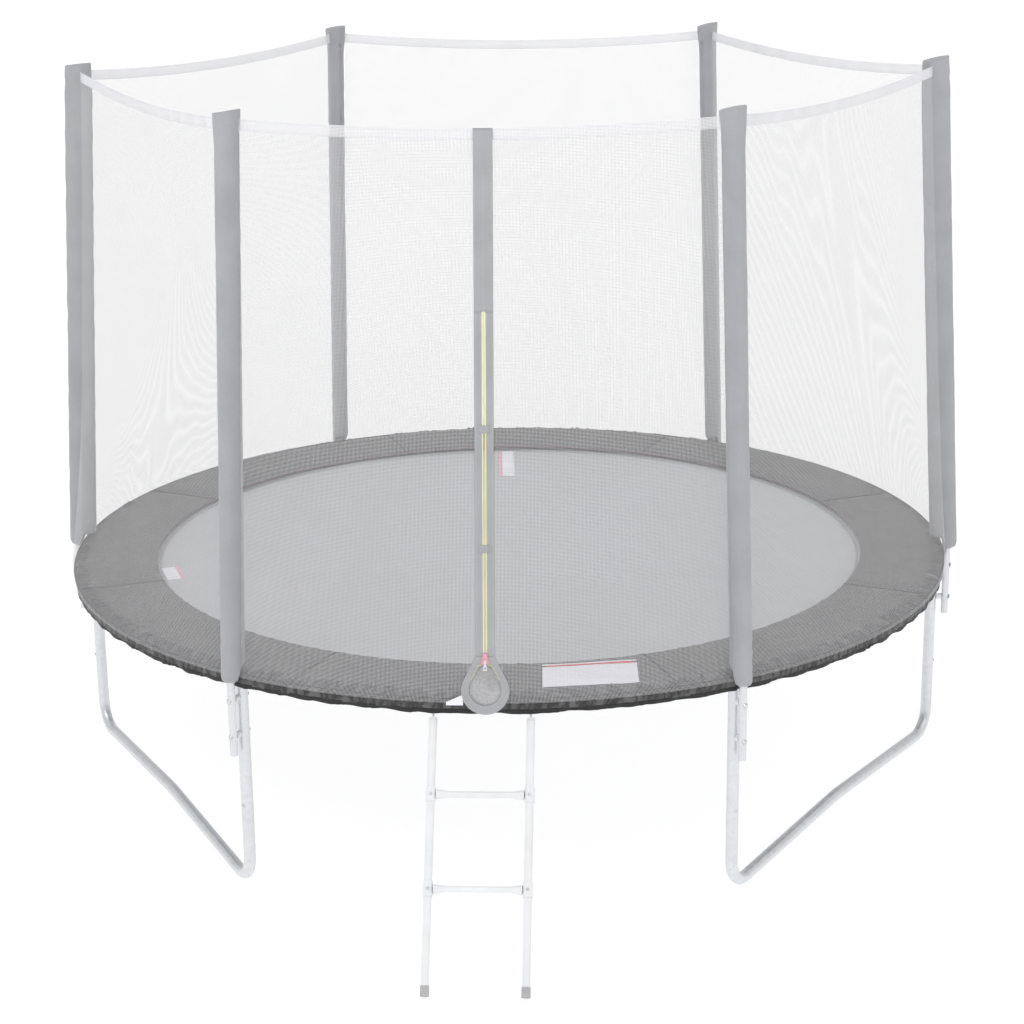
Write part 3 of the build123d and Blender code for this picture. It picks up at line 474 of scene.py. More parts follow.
# near-black: the pad's piping and welts, and painted shade along the lower edge of the skirt
binding_and_painted_shade = cloth_paint("binding_and_painted_shade", (0.012, 0.012, 0.013), 0.6, 0.0012, 0.00015, 0.7, 1.3, 0.02)
pad_edging = cloth_paint("pad_edging", (0.20, 0.11, 0.15), 0.6, 0.0012, 0.00008)
flap_cloth = cloth_paint("flap_cloth", (0.50, 0.50, 0.51), 0.7, 0.0014, 0.0001, 0.55, 1.3)
mat_weave = cloth_paint("mat_weave", (0.515, 0.52, 0.54), 0.66, 0.0026, 0.00002, 0.97, 1.02, 0.05)
border_webbing = cloth_paint("border_webbing", (0.43, 0.435, 0.45), 0.7, 0.0016, 0.00016)
strap_webbing = cloth_paint("strap_webbing", (0.10, 0.10, 0.105), 0.75, 0.0016, 0.00012)
door_webbing = cloth_paint("door_webbing", (0.42, 0.425, 0.44), 0.72, 0.0014, 0.00012)
label_cloth = cloth_paint("label_cloth", (0.92, 0.91, 0.97), 0.6, 0.0006, 0.00002)
label_red = cloth_paint("label_red", (0.66, 0.03, 0.06), 0.6, 0.0006, 0.00002)
label_pink = cloth_paint("label_pink", (0.80, 0.42, 0.50), 0.6, 0.0006, 0.00002)
thread_white = cloth_paint("thread_white", (0.80, 0.80, 0.80), 0.6, 0.0006, 0.00003)
zip_yellow = plastic_paint("zip_yellow", (0.96, 0.95, 0.58), 0.4)
zip_pink = plastic_paint("zip_pink", (0.90, 0.42, 0.50), 0.35)
pull_plastic = plastic_paint("pull_plastic", (0.74, 0.73, 0.79), 0.4)
net_mesh = net_paint("net_mesh", (0.76, 0.76, 0.775), 0.0040, 0.00040, 0.0)
# the hem's mesh has a painted glow of 0.06
hem_mesh = net_paint("hem_mesh", (0.82, 0.82, 0.84), 0.0040, 0.0015, 0.06)


def repaint(material, *names):
    for name in names:
        node = nodes[name]
        node.data.materials.clear()
        node.data.materials.append(material)


frame_tubes = [f"frame_rail_{k}" for k in range(1, 7)] + [f"leg_post_{k}" for k in range(1, 7)]
frame_tubes += [f"leg_base_{k}" for k in range(1, 4)] + [f"pole_lower_{k}" for k in range(1, 7)]
repaint(galvanised, *frame_tubes, "pole_uppers")
repaint(zinc, "pole_bolts", "pole_nuts", "frame_screws", "ladder_screws")
repaint(white_plastic, "pole_caps", "pole_spacers")
ladder_tubes = ["ladder_rail_left", "ladder_rail_right", "ladder_rung_upper", "ladder_rung_lower"]
repaint(white_coat, *ladder_tubes, "ladder_tees", "ladder_hooks")
repaint(zip_pink, "zip_slider")
repaint(pull_plastic, "zip_pull")

# ---- camera, light and floor
CAMERA_PLACE = (0.4487, -7.8643, 2.5537)
CAMERA_YAW = -0.05544
CAMERA_PITCH = 0.29953
CAMERA_ROLL = -0.0129
CAMERA_LENS = 81.24
look = np.array([
    math.sin(CAMERA_YAW) * math.cos(CAMERA_PITCH),
    math.cos(CAMERA_YAW) * math.cos(CAMERA_PITCH),
    -math.sin(CAMERA_PITCH),
])
level = np.array([math.cos(CAMERA_YAW), -math.sin(CAMERA_YAW), 0.0])
above = np.cross(level, look)
right = level * math.cos(CAMERA_ROLL) + above * math.sin(CAMERA_ROLL)
top = above * math.cos(CAMERA_ROLL) - level * math.sin(CAMERA_ROLL)
camera_data = bpy.data.cameras.new("camera")
camera_data.sensor_width = 36
camera_data.lens = CAMERA_LENS
camera_data.clip_end = 500
camera = bpy.data.objects.new("camera", camera_data)
camera.matrix_world = Matrix([
    (right[0], top[0], -look[0], CAMERA_PLACE[0]),
    (right[1], top[1], -look[1], CAMERA_PLACE[1]),
    (right[2], top[2], -look[2], CAMERA_PLACE[2]),
    (0, 0, 0, 1),
])
bpy.context.scene.collection.objects.link(camera)
bpy.context.scene.camera = camera

SKY_LIGHT = 0.74
world = bpy.data.worlds.new("studio")
world.use_nodes = True
world.node_tree.nodes["Background"].inputs["Color"].default_value = (1.0, 1.0, 1.0, 1)
# the sky lights the scene softly, and shows as white as the floor
seen = world.node_tree.nodes.new("ShaderNodeLightPath").outputs["Is Camera Ray"]
sky = world.node_tree.nodes.new("ShaderNodeMath")
sky.operation = "MULTIPLY_ADD"
sky.inputs[1].default_value = 1 - SKY_LIGHT
sky.inputs[2].default_value = SKY_LIGHT
world.node_tree.links.new(seen, sky.inputs[0])
world.node_tree.links.new(sky.outputs[0], world.node_tree.nodes["Background"].inputs["Strength"])
bpy.context.scene.world = world
bpy.context.scene.view_settings.view_transform = "Standard"


def lamp(name, place, size, power):
    data = bpy.data.lights.new(name, "AREA")
    data.size = size
    data.energy = power
    light = bpy.data.objects.new(name, data)
    light.location = place
    away = Matrix.Translation(place).to_translation()
    light.rotation_euler = away.to_track_quat("Z", "Y").to_euler()
    bpy.context.scene.collection.objects.link(light)


lamp("key", (-2.8, -5.2, 7.0), 4.0, 165)
lamp("fill", (5.5, -3.0, 4.5), 5.0, 50)

floor_shape = Shape()
floor_side = np.linspace(-70, 70, 3)
floor_x, floor_y = np.meshgrid(floor_side, floor_side, indexing="ij")
floor_points = np.stack([floor_x, floor_y, np.full_like(floor_x, FLOOR_Z - 0.0005)], -1)
floor_paint = Paint("floor", (0.42, 0.42, 0.422), 0.9)
floor_paint.shader.inputs["Emission Color"].default_value = (1, 1, 1, 1)
floor_paint.shader.inputs["Emission Strength"].default_value = 0.74
floor = floor_shape.grid(floor_points, floor_points[..., :2]).make("floor", floor_paint.done())

# ---- jumping mat
ROUND = 360
turns = np.linspace(0, 2 * pi, ROUND, endpoint=False)
spokes = np.stack([np.sin(turns), -np.cos(turns), 0 * turns], -1)


def lathe(profile, wobble=None):
    """Round shape from a closed profile of (radius, z); wobble adds (radius, z) at each turn."""
    profile = np.array(profile, float)
    wobble = np.zeros((ROUND, len(profile), 2)) if wobble is None else wobble
    radius = profile[None, :, 0] + wobble[..., 0]
    points = spokes[:, None] * radius[..., None] + UP * (profile[None, :, 1] + wobble[..., 1])[..., None]
    round_once = np.vstack([profile, profile[:1]])
    across = np.concatenate([[0], np.cumsum(np.linalg.norm(np.diff(round_once, axis=0), axis=1))])
    around = np.linspace(0, 2 * pi * float(profile[:, 0].mean()), ROUND + 1)
    return points, np.stack(np.meshgrid(around, across, indexing="ij"), -1)


mat_shape = Shape()
ring_radii = np.concatenate([[0.001], np.linspace(0.02, 1.2, 30), [1.225, MAT_R - 0.0006, MAT_R]])
mat_profile = [(r, 0.0) for r in ring_radii[:-1]] + [(MAT_R, -MAT_THICKNESS / 2)]
mat_profile += [(r, -MAT_THICKNESS) for r in ring_radii[:-1][::-1]]
mat_points, _ = lathe(mat_profile)
mat_uv = np.concatenate([mat_points[..., :2], mat_points[:1, :, :2]], 0)
mat_uv = np.concatenate([mat_uv, mat_uv[:, :1]], 1)
m = len(mat_profile)
mat_shape.grid(mat_points, mat_uv, (True, False))
mat_shape.cap([k * m for k in range(ROUND)])
mat_shape.cap([k * m + m - 1 for k in range(ROUND)][::-1])
mat_cloth = mat_shape.make("mat_cloth", mat_weave)
for polygon in mat_cloth.data.polygons:
    if len(polygon.vertices) > 4:
        for loop in polygon.loop_indices:
            place = mat_cloth.data.vertices[mat_cloth.data.loops[loop].vertex_index].co
            mat_cloth.data.uv_layers["cloth"].data[loop].uv = place.xy
dish(mat_cloth, ["mat"])

# folded webbing sewn round the mat, drawn out a little at each ring
border_profile = [(MAT_R + 0.0004, -0.0028), (MAT_R + 0.0004, 0.0002), (MAT_R + 0.004, 0.0009)]
border_profile += [(MAT_R + 0.020, 0.0009), (MAT_R + 0.0225, 0.0009), (MAT_R + 0.0235, 0.0003)]
border_profile += [(MAT_R + 0.0255, 0.0003), (MAT_R + 0.0265, 0.0009), (1.300, 0.0010)]
border_profile += [(1.3175, 0.0004), (MAT_BORDER_R, -0.0015), (1.3175, -0.0032), (1.280, -0.0032)]
pull = np.maximum(0, -np.cos(turns * SPRING_COUNT)) * 0.0015
border_wobble = np.zeros((ROUND, len(border_profile), 2))
for k, (r, _) in enumerate(border_profile):
    border_wobble[:, k, 0] = -pull * max(0, (r - 1.29) / (MAT_BORDER_R - 1.29))
border_points, border_uv = lathe(border_profile, border_wobble)
border = Shape().grid(border_points, border_uv, (True, True)).make("mat_border_webbing", border_webbing)
dish(border, ["mat_border"])

seam_rows = Shape()
for beyond, z in ((0.008, 0.0009), (0.018, 0.0009), (0.030, 0.0009), (0.052, 0.0010)):
    radius = MAT_R + beyond
    count = int(2 * pi * radius / 0.009)
    stitch_turns = np.linspace(0, 360, count, endpoint=False)
    centres = [outward(a) * radius + UP * z for a in stitch_turns]
    sideways, outwards = [tangent(a) for a in stitch_turns], [outward(a) for a in stitch_turns]
    seam_rows.studs(centres, sideways, outwards, [UP] * count, (0.006, 0.0009, 0.0004))
mat_stitching = seam_rows.make("mat_stitching", thread_white)
dish(mat_stitching)

# ---- rings and coil springs
spring_angles = [360 / SPRING_COUNT * (n + 0.5) for n in range(SPRING_COUNT)]
ring_shape = Shape()
RING_HALF = 0.0165
sewn_r = MAT_BORDER_R - 0.006
corner_path = [(sewn_r, -RING_HALF), (V_RING_R, -0.003), (V_RING_R, 0.003), (sewn_r, RING_HALF)]
for angle in spring_angles:
    path = []
    for (r0, t0), (r1, t1) in zip(corner_path, corner_path[1:] + corner_path[:1]):
        for t in (0.0, 0.12, 0.5, 0.88):
            r, side = r0 + (r1 - r0) * t, t0 + (t1 - t0) * t
            path.append(outward(angle) * r + tangent(angle) * side + UP * (-MAT_THICKNESS / 2))
    ring_shape.tube(path, 0.002, 8, closed=True)
spring_rings = ring_shape.make("spring_rings", zinc)
dish(spring_rings, ["v_rings"])

COILS = 29
COIL_R = 0.0075
spring_shape = Shape()
for angle in spring_angles:
    out, side = outward(angle), tangent(angle)
    t = np.linspace(0, 1, COILS * 12 + 1)
    taper = 0.45 + 0.55 * smooth(np.minimum(t, 1 - t) / 0.05)
    turn = 2 * pi * COILS * t
    reach = SPRING_INNER_END + (SPRING_OUTER_END - SPRING_INNER_END) * t
    ring = np.cos(turn)[:, None] * side + np.sin(turn)[:, None] * UP
    coil = reach[:, None] * out + (COIL_R * taper)[:, None] * ring
    hook_turn = np.linspace(0, pi * 0.95, 9)
    inner_middle, inner_r = V_RING_R + 0.006, 0.0075
    inner = []
    for a in hook_turn[::-1]:
        bend = out * (inner_middle - math.sin(a) * inner_r) + UP * (math.cos(a) * inner_r * 0.8)
        inner.append(bend - UP * 0.0015)
    outer = [out * (SPRING_OUTER_END + 0.006), out * (HOOK_HOLE_R - 0.006) + UP * 0.0015]
    outer += [out * HOOK_HOLE_R + UP * 0.0005, out * (HOOK_HOLE_R + 0.0006) - UP * 0.003]
    outer += [out * HOOK_HOLE_R - UP * 0.008]
    rise = [out * (SPRING_INNER_END - 0.003) + UP * 0.004]
    path = np.concatenate([np.array(inner), rise, coil, np.array(outer)])
    spring_shape.tube(path, WIRE_R, 6, up=out)
coil_springs = spring_shape.make("coil_springs", spring_steel)
dish(coil_springs, ["springs"])

# ---- spring pad and its skirt
ROUND = 1440
turns = np.linspace(0, 2 * pi, ROUND, endpoint=False)
spokes = np.stack([np.sin(turns), -np.cos(turns), 0 * turns], -1)
degrees_round = np.degrees(turns)
seam_near = np.min([np.abs((degrees_round - a + 180) % 360 - 180) for a in PAD_SEAMS], 0) * pi / 180 * 1.39
puff = 1 - np.exp(-((seam_near / 0.028) ** 2)) * 0.8
inner_pucker = round_waves(turns, 3, 9, 60, 190)
outer_pucker = round_waves(turns, 4, 14, 90, 330)
slow = round_waves(turns, 5, 6, 5, 23)


def pad_top(share, row=None):
    """Height of the pad's upper face at a share of its width, from its inner edge."""
    crown = (1 - np.abs(2 * share - 1) ** 3.0) * PAD_CROWN
    rows = slice(None) if row is None else row
    height = crown * (puff[rows] * (0.93 + 0.07 * slow[rows]))
    height = height - PAD_EDGE_DROP * smooth((share - 0.9) / 0.1)
    height = height + INNER_PUCKER * inner_pucker[rows] * math.exp(-((share / 0.12) ** 2))
    return height + OUTER_PUCKER * np.abs(outer_pucker[rows]) * math.exp(-(((share - 0.93) / 0.085) ** 2))


pad_shares = [0.0, 0.004, 0.012, 0.03, 0.06, 0.1, 0.16, 0.24, 0.34, 0.45]
pad_shares += [0.55, 0.66, 0.76, 0.84, 0.9, 0.94, 0.97, 0.988, 0.996, 1.0]
pad_width = PAD_OUTER_R - PAD_INNER_R
pad_profile = [(PAD_INNER_R + pad_width * s, PAD_EDGE_Z) for s in pad_shares]
pad_profile += [(PAD_OUTER_R, 0.013), (PAD_OUTER_R - 0.003, PAD_BOTTOM_Z), (1.44, PAD_BOTTOM_Z)]
pad_profile += [(1.34, PAD_BOTTOM_Z), (PAD_INNER_R + 0.003, PAD_BOTTOM_Z), (PAD_INNER_R, 0.013)]
pad_wobble = np.zeros((ROUND, len(pad_profile), 2))
for k, share in enumerate(pad_shares):
    pad_wobble[:, k, 1] = pad_top(share)
    if share < 0.5:
        pad_wobble[:, k, 0] = -0.0012 * inner_pucker * (1 - share * 2)
pad_points, pad_uv = lathe(pad_profile, pad_wobble)
pad_shape = Shape().grid(pad_points, pad_uv, (True, True))
spring_pad = pad_shape.make("spring_pad", pad_cloth, skirt_cloth)
# the pad's outer band takes the skirt's paint, with painted shade in its creases and painted highlights on
# their ridges
for polygon in spring_pad.data.polygons:
    if math.hypot(polygon.center.x, polygon.center.y) > PAD_INNER_R + pad_width * CREASED_SHARE:
        polygon.material_index = 1
finish_piece(spring_pad, "frame", ["pad_cover", "pad_foam"])

# welted seams across the pad, and piping round both edges
welts = Shape()
for angle in PAD_SEAMS:
    row = int(round(angle * ROUND / 360)) % ROUND
    rises = [PAD_EDGE_Z + float(pad_top(s, row)) + 0.0006 for s in pad_shares]
    path = [outward(angle) * (PAD_INNER_R + pad_width * s) + UP * rise for s, rise in zip(pad_shares, rises)]
    welts.tube(path, WELT_R, 8)
welts.tube(spokes * (PAD_OUTER_R - 0.0022) + UP * (PAD_EDGE_Z - 0.002), PIPING_R, 8, closed=True)
pad_piping = welts.make("pad_piping", binding_and_painted_shade)
finish_piece(pad_piping, "frame")
inner_edge = Shape().tube(spokes * (PAD_INNER_R + 0.001) + UP * (PAD_EDGE_Z - 0.002), PIPING_R, 8, closed=True)
pad_inner_piping = inner_edge.make("pad_inner_piping", pad_edging)
finish_piece(pad_inner_piping, "frame")

gather2 = round_waves(turns, 9, 10, 30, 120)
skirt_rows = np.linspace(SKIRT_TOP_Z, SKIRT_BOTTOM_Z, 9)
skirt_profile = [(SKIRT_R, z) for z in skirt_rows] + [(SKIRT_R - SKIRT_THICKNESS, z) for z in skirt_rows[::-1]]
skirt_wobble = np.zeros((ROUND, len(skirt_profile), 2))
for k, (_, z) in enumerate(skirt_profile):
    hang = (SKIRT_TOP_Z - z) / (SKIRT_TOP_Z - SKIRT_BOTTOM_Z)
    crease = round_waves(turns + 0.02 * hang * (1 + gather2), 10, 16, 110, 340)
    skirt_wobble[:, k, 0] = -SKIRT_CREASE * (1 + crease) * (0.3 + 0.7 * hang)
    skirt_wobble[:, k, 0] -= SKIRT_GATHER * (1 + gather2) * hang
    skirt_wobble[:, k, 0] -= SKIRT_TUCK * max(0.0, hang - 0.7) / 0.3
    skirt_wobble[:, k, 1] = SKIRT_HEM_WAVE * gather2 * hang
from_hook = np.abs(np.abs((degrees_round + 180) % 360 - 180) - HOOK_ANGLE)
clear = np.exp(-((from_hook / 1.3) ** 2))[:, None]
skirt_wobble[..., 0] = skirt_wobble[..., 0] * (1 - clear) + 0.0026 * clear
skirt_wobble[..., 1] *= 1 - clear
skirt_points, skirt_uv = lathe(skirt_profile, skirt_wobble)
skirt = Shape().grid(skirt_points, skirt_uv, (True, True)).make("pad_skirt_cloth", skirt_cloth, binding_and_painted_shade)
# the lowest band of the skirt is painted near-black as painted shade under the pad's edge
for polygon in skirt.data.polygons:
    if polygon.center.z < SKIRT_BOTTOM_Z + PAINTED_SHADE_HEIGHT:
        polygon.material_index = 1
finish_piece(skirt, "frame", ["pad_skirt"])

# straps that hold the pad down to the rim
strap_shape = Shape()
for k in range(STRAP_COUNT):
    angle = STRAP_ANGLE + 360 / STRAP_COUNT * k
    out, side = outward(angle), tangent(angle)
    hub = out * RIM_R + UP * RIM_Z
    loop_turn = np.linspace(0, 2 * pi, 33)
    spoke = np.sin(loop_turn)[:, None] * out + np.cos(loop_turn)[:, None] * UP
    middle = hub + spoke * (RIM_TUBE_R + 0.0012)
    strap_shape.band(middle, np.tile(side, (33, 1)), spoke, STRAP_HALF, 0.0012, loop_turn * RIM_TUBE_R)
    rise = np.linspace(RIM_Z + RIM_TUBE_R + 0.0006, PAD_BOTTOM_Z, 5)
    middle = out * RIM_R + rise[:, None] * UP
    strap_shape.band(middle, np.tile(side, (5, 1)), np.tile(out, (5, 1)), STRAP_HALF, 0.0014, rise)
strap_loops = strap_shape.make("strap_loops", strap_webbing)
finish_piece(strap_loops, "frame", ["pad_straps"])

# ---- padded pole sleeves
AROUND = 48
sleeve_turn = np.linspace(0, 2 * pi, AROUND, endpoint=False)
heights = np.concatenate([
    SLEEVE_BOTTOM + 0.022 * (1 - np.cos(np.linspace(0, pi / 2, 7))),
    np.linspace(SLEEVE_BOTTOM + 0.03, 1.66, 150),
    np.linspace(1.666, SLEEVE_TOP, 12),
])
foam_shape = Shape()
for number, angle in enumerate(POLE_ANGLES, 1):
    along = -math.sin(POLE_LEAN) * outward(angle) + math.cos(POLE_LEAN) * UP
    across = math.cos(POLE_LEAN) * outward(angle) + math.sin(POLE_LEAN) * UP
    side = tangent(angle)
    bend = outward(angle) * POLE_RING_R + UP * POLE_BEND_Z
    s, phi = np.meshgrid(heights, sleeve_turn, indexing="ij")
    radial = SLEEVE_RADIAL * np.cos(phi)
    sideways = SLEEVE_TANGENT * np.sin(phi)
    seed = 20 + number
    rucks = waves(s, seed, 7, 25, 95) * (0.4 + 0.6 * waves(phi, seed + 40, 3, 0.9, 2.1) ** 2)
    folds = waves(s * 3 + 2 * np.sin(phi), seed + 80, 5, 8, 22)
    swell = 1 - 0.018 * (1 + rucks) - 0.01 * folds
    swell = swell * (1 - 0.010 * (1 + np.sin(phi * 5 + 3 * np.sin(s * 4 + seed))))
    low = np.clip((s - SLEEVE_BOTTOM) / 0.022, 0, 1)
    swell = swell * (0.74 + 0.26 * np.sqrt(1 - (1 - low) ** 2))
    high = np.clip((s - 1.60) / (SLEEVE_TOP - 1.60), 0, 1)
    swell = swell * (1 - 0.05 * np.exp(-(((high - 0.45) / 0.12) ** 2)) * (1 + np.sin(phi * 3 + seed)) / 2)
    widen = 1 + 0.36 * smooth((high - 0.1) / 0.9)
    pinch = 1 - 0.05 * smooth((high - 0.5) / 0.5)
    centre = bend + SLEEVE_OFFSET * across
    points = centre + s[..., None] * along + (radial * swell * pinch)[..., None] * across
    points = points + (sideways * swell * widen)[..., None] * side
    # outside the pad's edge the sleeve hangs lower than it does over the pad
    out_of_pad = smooth((radial + SLEEVE_OFFSET + 0.026) / 0.022)
    droop = SLEEVE_DROOP * out_of_pad * (1 - smooth((s - SLEEVE_BOTTOM) / 0.13))
    tip = 0.007 * high ** 6 * np.sin(phi - 0.6 + number * 1.1)
    points = points + (tip - droop)[..., None] * along
    around = np.linspace(0, 0.245, AROUND + 1)
    uv = np.stack(np.meshgrid(np.append(heights, SLEEVE_TOP + 0.01), around, indexing="ij"), -1)
    shape = Shape().grid(points, uv, (False, True))
    # the cloth turns in at both ends
    rows = len(heights)
    for row, keeps, shift in ((0, (0.86, 0.62), 0.004), (rows - 1, (0.82, 0.42, 0.12), -0.002)):
        ring = points[row]
        middle = ring.mean(0)
        inside = [ring]
        for j, keep in enumerate(keeps):
            inside.append(middle + (ring - middle) * keep + along * shift * (j + 1))
        flat_uv = np.zeros((len(inside) + 1, AROUND + 1, 2))
        shape.grid(np.array(inside if row else inside[::-1]), flat_uv, (False, True))
    top_start = len(heights) - 11
    seam = points[: top_start, AROUND // 2]
    shape.tube(seam + across * -0.0006, SLEEVE_SEAM_R, 8)
    sleeve = shape.make(f"pole_sleeve_{number}", sleeve_cloth)
    mesh = sleeve.data
    work = bmesh.new()
    work.from_mesh(mesh)
    bmesh.ops.remove_doubles(work, verts=work.verts, dist=0.00001)
    work.to_mesh(mesh)
    work.free()
    finish_piece(sleeve, "frame", ["pole_sleeves"] if number == 1 else [])
    foam_s = np.concatenate([[0.0035, 0.0045, 0.03], np.linspace(0.06, 1.70, 40)])
    foam_r = np.concatenate([[0.0150, FOAM_NECK_R, FOAM_NECK_R], np.full(40, FOAM_R)])
    foam_shape.tube(bend + foam_s[:, None] * along, foam_r, 32, up=side)

sleeve_foams = foam_shape.make("sleeve_foams", foam_paint)
finish_piece(sleeve_foams, "frame", ["pole_foams"])

# ---- safety net
door_turn = math.degrees(math.asin(DOOR_HALF / NET_R))
door_shift = math.degrees(math.asin(ZIP_X / NET_R))
panels = [(f"net_wall_{k}", f"net_panel_{k}", STEP * k, None) for k in range(1, 6)]
panels += [("net_door_left", "net_front_left", 0, -1), ("net_door_right", "net_front_right", 0, 1)]


def hem_drop(y):
    """How far the net's top hangs below the straight line between two poles."""
    return NET_SAG * (1 - (np.asarray(y) / NET_TOP_HALF) ** 2)


def net_points(angle, door, columns, rows):
    low_turn, high_turn = -NET_BOTTOM_HALF, NET_BOTTOM_HALF
    low_y, high_y = -NET_TOP_HALF, NET_TOP_HALF
    if door == -1:
        high_turn, high_y = door_shift - door_turn, ZIP_X - DOOR_HALF
    if door == 1:
        low_turn, low_y = door_shift + door_turn, ZIP_X + DOOR_HALF
    u = np.linspace(0, 1, columns)
    v = np.linspace(0, 1, rows)
    turn = np.radians(low_turn + (high_turn - low_turn) * u)
    y_top = low_y + (high_y - low_y) * u
    spoke = np.cos(turn)[:, None] * outward(angle) + np.sin(turn)[:, None] * tangent(angle)
    foot = NET_R * spoke + UP * NET_LOFT_Z
    head = NET_TOP_MIDDLE * outward(angle) + y_top[:, None] * tangent(angle) + UP * NET_TOP_Z
    points = foot[:, None] * (1 - v)[None, :, None] + head[:, None] * v[None, :, None]
    y = (NET_R * np.sin(turn))[:, None] * (1 - v) + y_top[:, None] * v
    free = np.clip(1 - (y / 0.76) ** 2, 0, 1)
    if door is not None:
        free = free * smooth((np.abs(y - ZIP_X) - DOOR_HALF) / 0.4)
    bow = NET_BOW * free * np.sin(pi * v)[None] ** 0.8
    near_ends = 0.3 + 0.7 * np.abs(2 * v[None] - 1) ** 2
    ruck = NET_RUCK * waves(y + v[None] * 0.15, 300 + angle, 6, 14, 60) * free ** 0.5 * near_ends
    points = points - (bow + ruck * np.sin(pi * v)[None] ** 0.3)[..., None] * outward(angle)
    points[..., 2] -= hem_drop(y) * v[None] ** 2.2
    return points, turn, y_top


for name, node, angle, door in panels:
    points, turn, y_top = net_points(angle, door, 72 if door is None else 40, 60)
    band_turn = turn * (0.5 * STEP / NET_BOTTOM_HALF) if door is None else turn
    if door is not None:
        share = (turn - turn[0]) / (turn[-1] - turn[0])
        end = math.radians(STEP / 2 - 0.02)
        if door == -1:
            band_turn = turn[-1] + (turn - turn[-1]) * (end + turn[-1]) / (turn[-1] - turn[0])
        else:
            band_turn = turn[0] + share * (end - turn[0])
    band = []
    for z in np.linspace(NET_HANG_Z, NET_LOFT_Z, 6):
        mix = (z - NET_BOTTOM_Z) / (NET_LOFT_Z - NET_BOTTOM_Z)
        here = band_turn + (turn - band_turn) * mix
        spoke = np.cos(here)[:, None] * outward(angle) + np.sin(here)[:, None] * tangent(angle)
        band.append(NET_R * spoke + UP * z)
    band = np.stack(band, 1)
    points = np.concatenate([band[:, :-1], points], 1)
    lengths = np.linalg.norm(np.diff(points[len(points) // 2], axis=0), axis=1)
    v = np.concatenate([[0], np.cumsum(lengths)])
    half = (v / v[-1])[None]
    across = (NET_R * turn)[:, None] * (1 - half) + y_top[:, None] * half
    uv = np.stack([across, np.broadcast_to(v, across.shape)], -1)
    wall = Shape().grid(points, uv).make(name, net_mesh)
    finish_piece(wall, "frame", [node])
    height = float(v[-1])

# folded hem along the top
hem_shape = Shape()
hem_stitches = Shape()
hem_half = NET_TOP_HALF + 0.006
for k in range(6):
    angle = STEP * k
    y = np.linspace(-hem_half, hem_half, 60)
    droop = hem_drop(np.clip(y, -NET_TOP_HALF, NET_TOP_HALF))
    base = NET_TOP_MIDDLE * outward(angle) + y[:, None] * tangent(angle)
    middle = base + (NET_TOP_Z + HEM_HEIGHT / 2 - 0.002 - droop)[:, None] * UP
    middle = middle + (0.0012 * waves(y, 400 + k, 5, 20, 70))[:, None] * outward(angle)
    hem_shape.band(middle, np.tile(UP, (60, 1)), np.tile(outward(angle), (60, 1)), HEM_HEIGHT / 2, 0.0032, y)
    for level in (-0.011, 0.012):
        spots = np.arange(-hem_half + 0.01, hem_half - 0.01, 0.0075)
        low = np.interp(spots, y, middle @ UP) + level
        wave = np.interp(spots, y, middle @ outward(angle))
        for face in (-1, 1):
            n = len(spots)
            centres = (wave + face * 0.0016)[:, None] * outward(angle) + spots[:, None] * tangent(angle)
            centres = centres + low[:, None] * UP
            outwards = [face * outward(angle)] * n
            hem_stitches.studs(centres, [tangent(angle)] * n, [UP] * n, outwards, (0.005, 0.0008, 0.0004))
net_top_hem = hem_shape.make("net_top_hem", hem_mesh)
finish_piece(net_top_hem, "frame", ["net_hem"])
hem_stitching = hem_stitches.make("hem_stitching", thread_white)
finish_piece(hem_stitching, "frame")

# ---- zipped doorway
tape_top = (NET_TOP_Z - NET_LOFT_Z) / math.cos(NET_LEAN) + 0.002
ACROSS = np.array([1.0, 0.0, 0.0])
tape_shape = Shape()
tape_stitches = Shape()


def door_band(shape, x, s, half, lift, thick):
    n = len(s)
    shape.band(on_door(x, s, lift), np.tile(ACROSS, (n, 1)), np.tile(DOOR_OUT, (n, 1)), half, thick, s)


STITCH = (0.0042, 0.0008, 0.0004)
STITCH_PITCH = 0.0062
STITCH_LOW = 0.118
STITCH_INNER_X = 0.0075
STITCH_OUTER_X = 0.0245


def through_stitches(x, spots):
    """A row of stitches up the webbing, on both of its faces."""
    n = len(spots)
    for face in (-1, 1):
        centres = on_door(np.full(n, x), spots, face * TAPE_THICKNESS / 2)
        tape_stitches.studs(centres, [DOOR_UP] * n, [ACROSS] * n, [DOOR_OUT * face] * n, STITCH)


strip_half = (TAPE_HALF - TEETH_HALF) / 2
for sign in (-1, 1):
    s = np.linspace(TAPE_LOW, ZIP_HIGH, 90)
    door_band(tape_shape, np.full(90, sign * (TEETH_HALF + strip_half)), s, strip_half, 0.0, TAPE_THICKNESS)
    for x in (STITCH_INNER_X, STITCH_OUTER_X):
        through_stitches(sign * x, np.arange(STITCH_LOW, ZIP_HIGH - 0.004, STITCH_PITCH))
s = np.linspace(ZIP_HIGH, tape_top, 50)
door_band(tape_shape, np.zeros(50), s, TAPE_HALF, TAPE_RISE * smooth((s - 1.54) / 0.06), TAPE_THICKNESS)
for x in (-STITCH_OUTER_X, 0.0, STITCH_OUTER_X):
    through_stitches(x, np.arange(ZIP_HIGH + 0.006, 1.53, STITCH_PITCH))
zip_tape = tape_shape.make("zip_tape", door_webbing)
finish_piece(zip_tape, "frame", ["zip_webbing"])
zip_stitching = tape_stitches.make("zip_stitching", thread_white)
finish_piece(zip_stitching, "frame")

# keyhole of webbing round the bottom of the doorway
LOOP_MIDDLE = 0.011


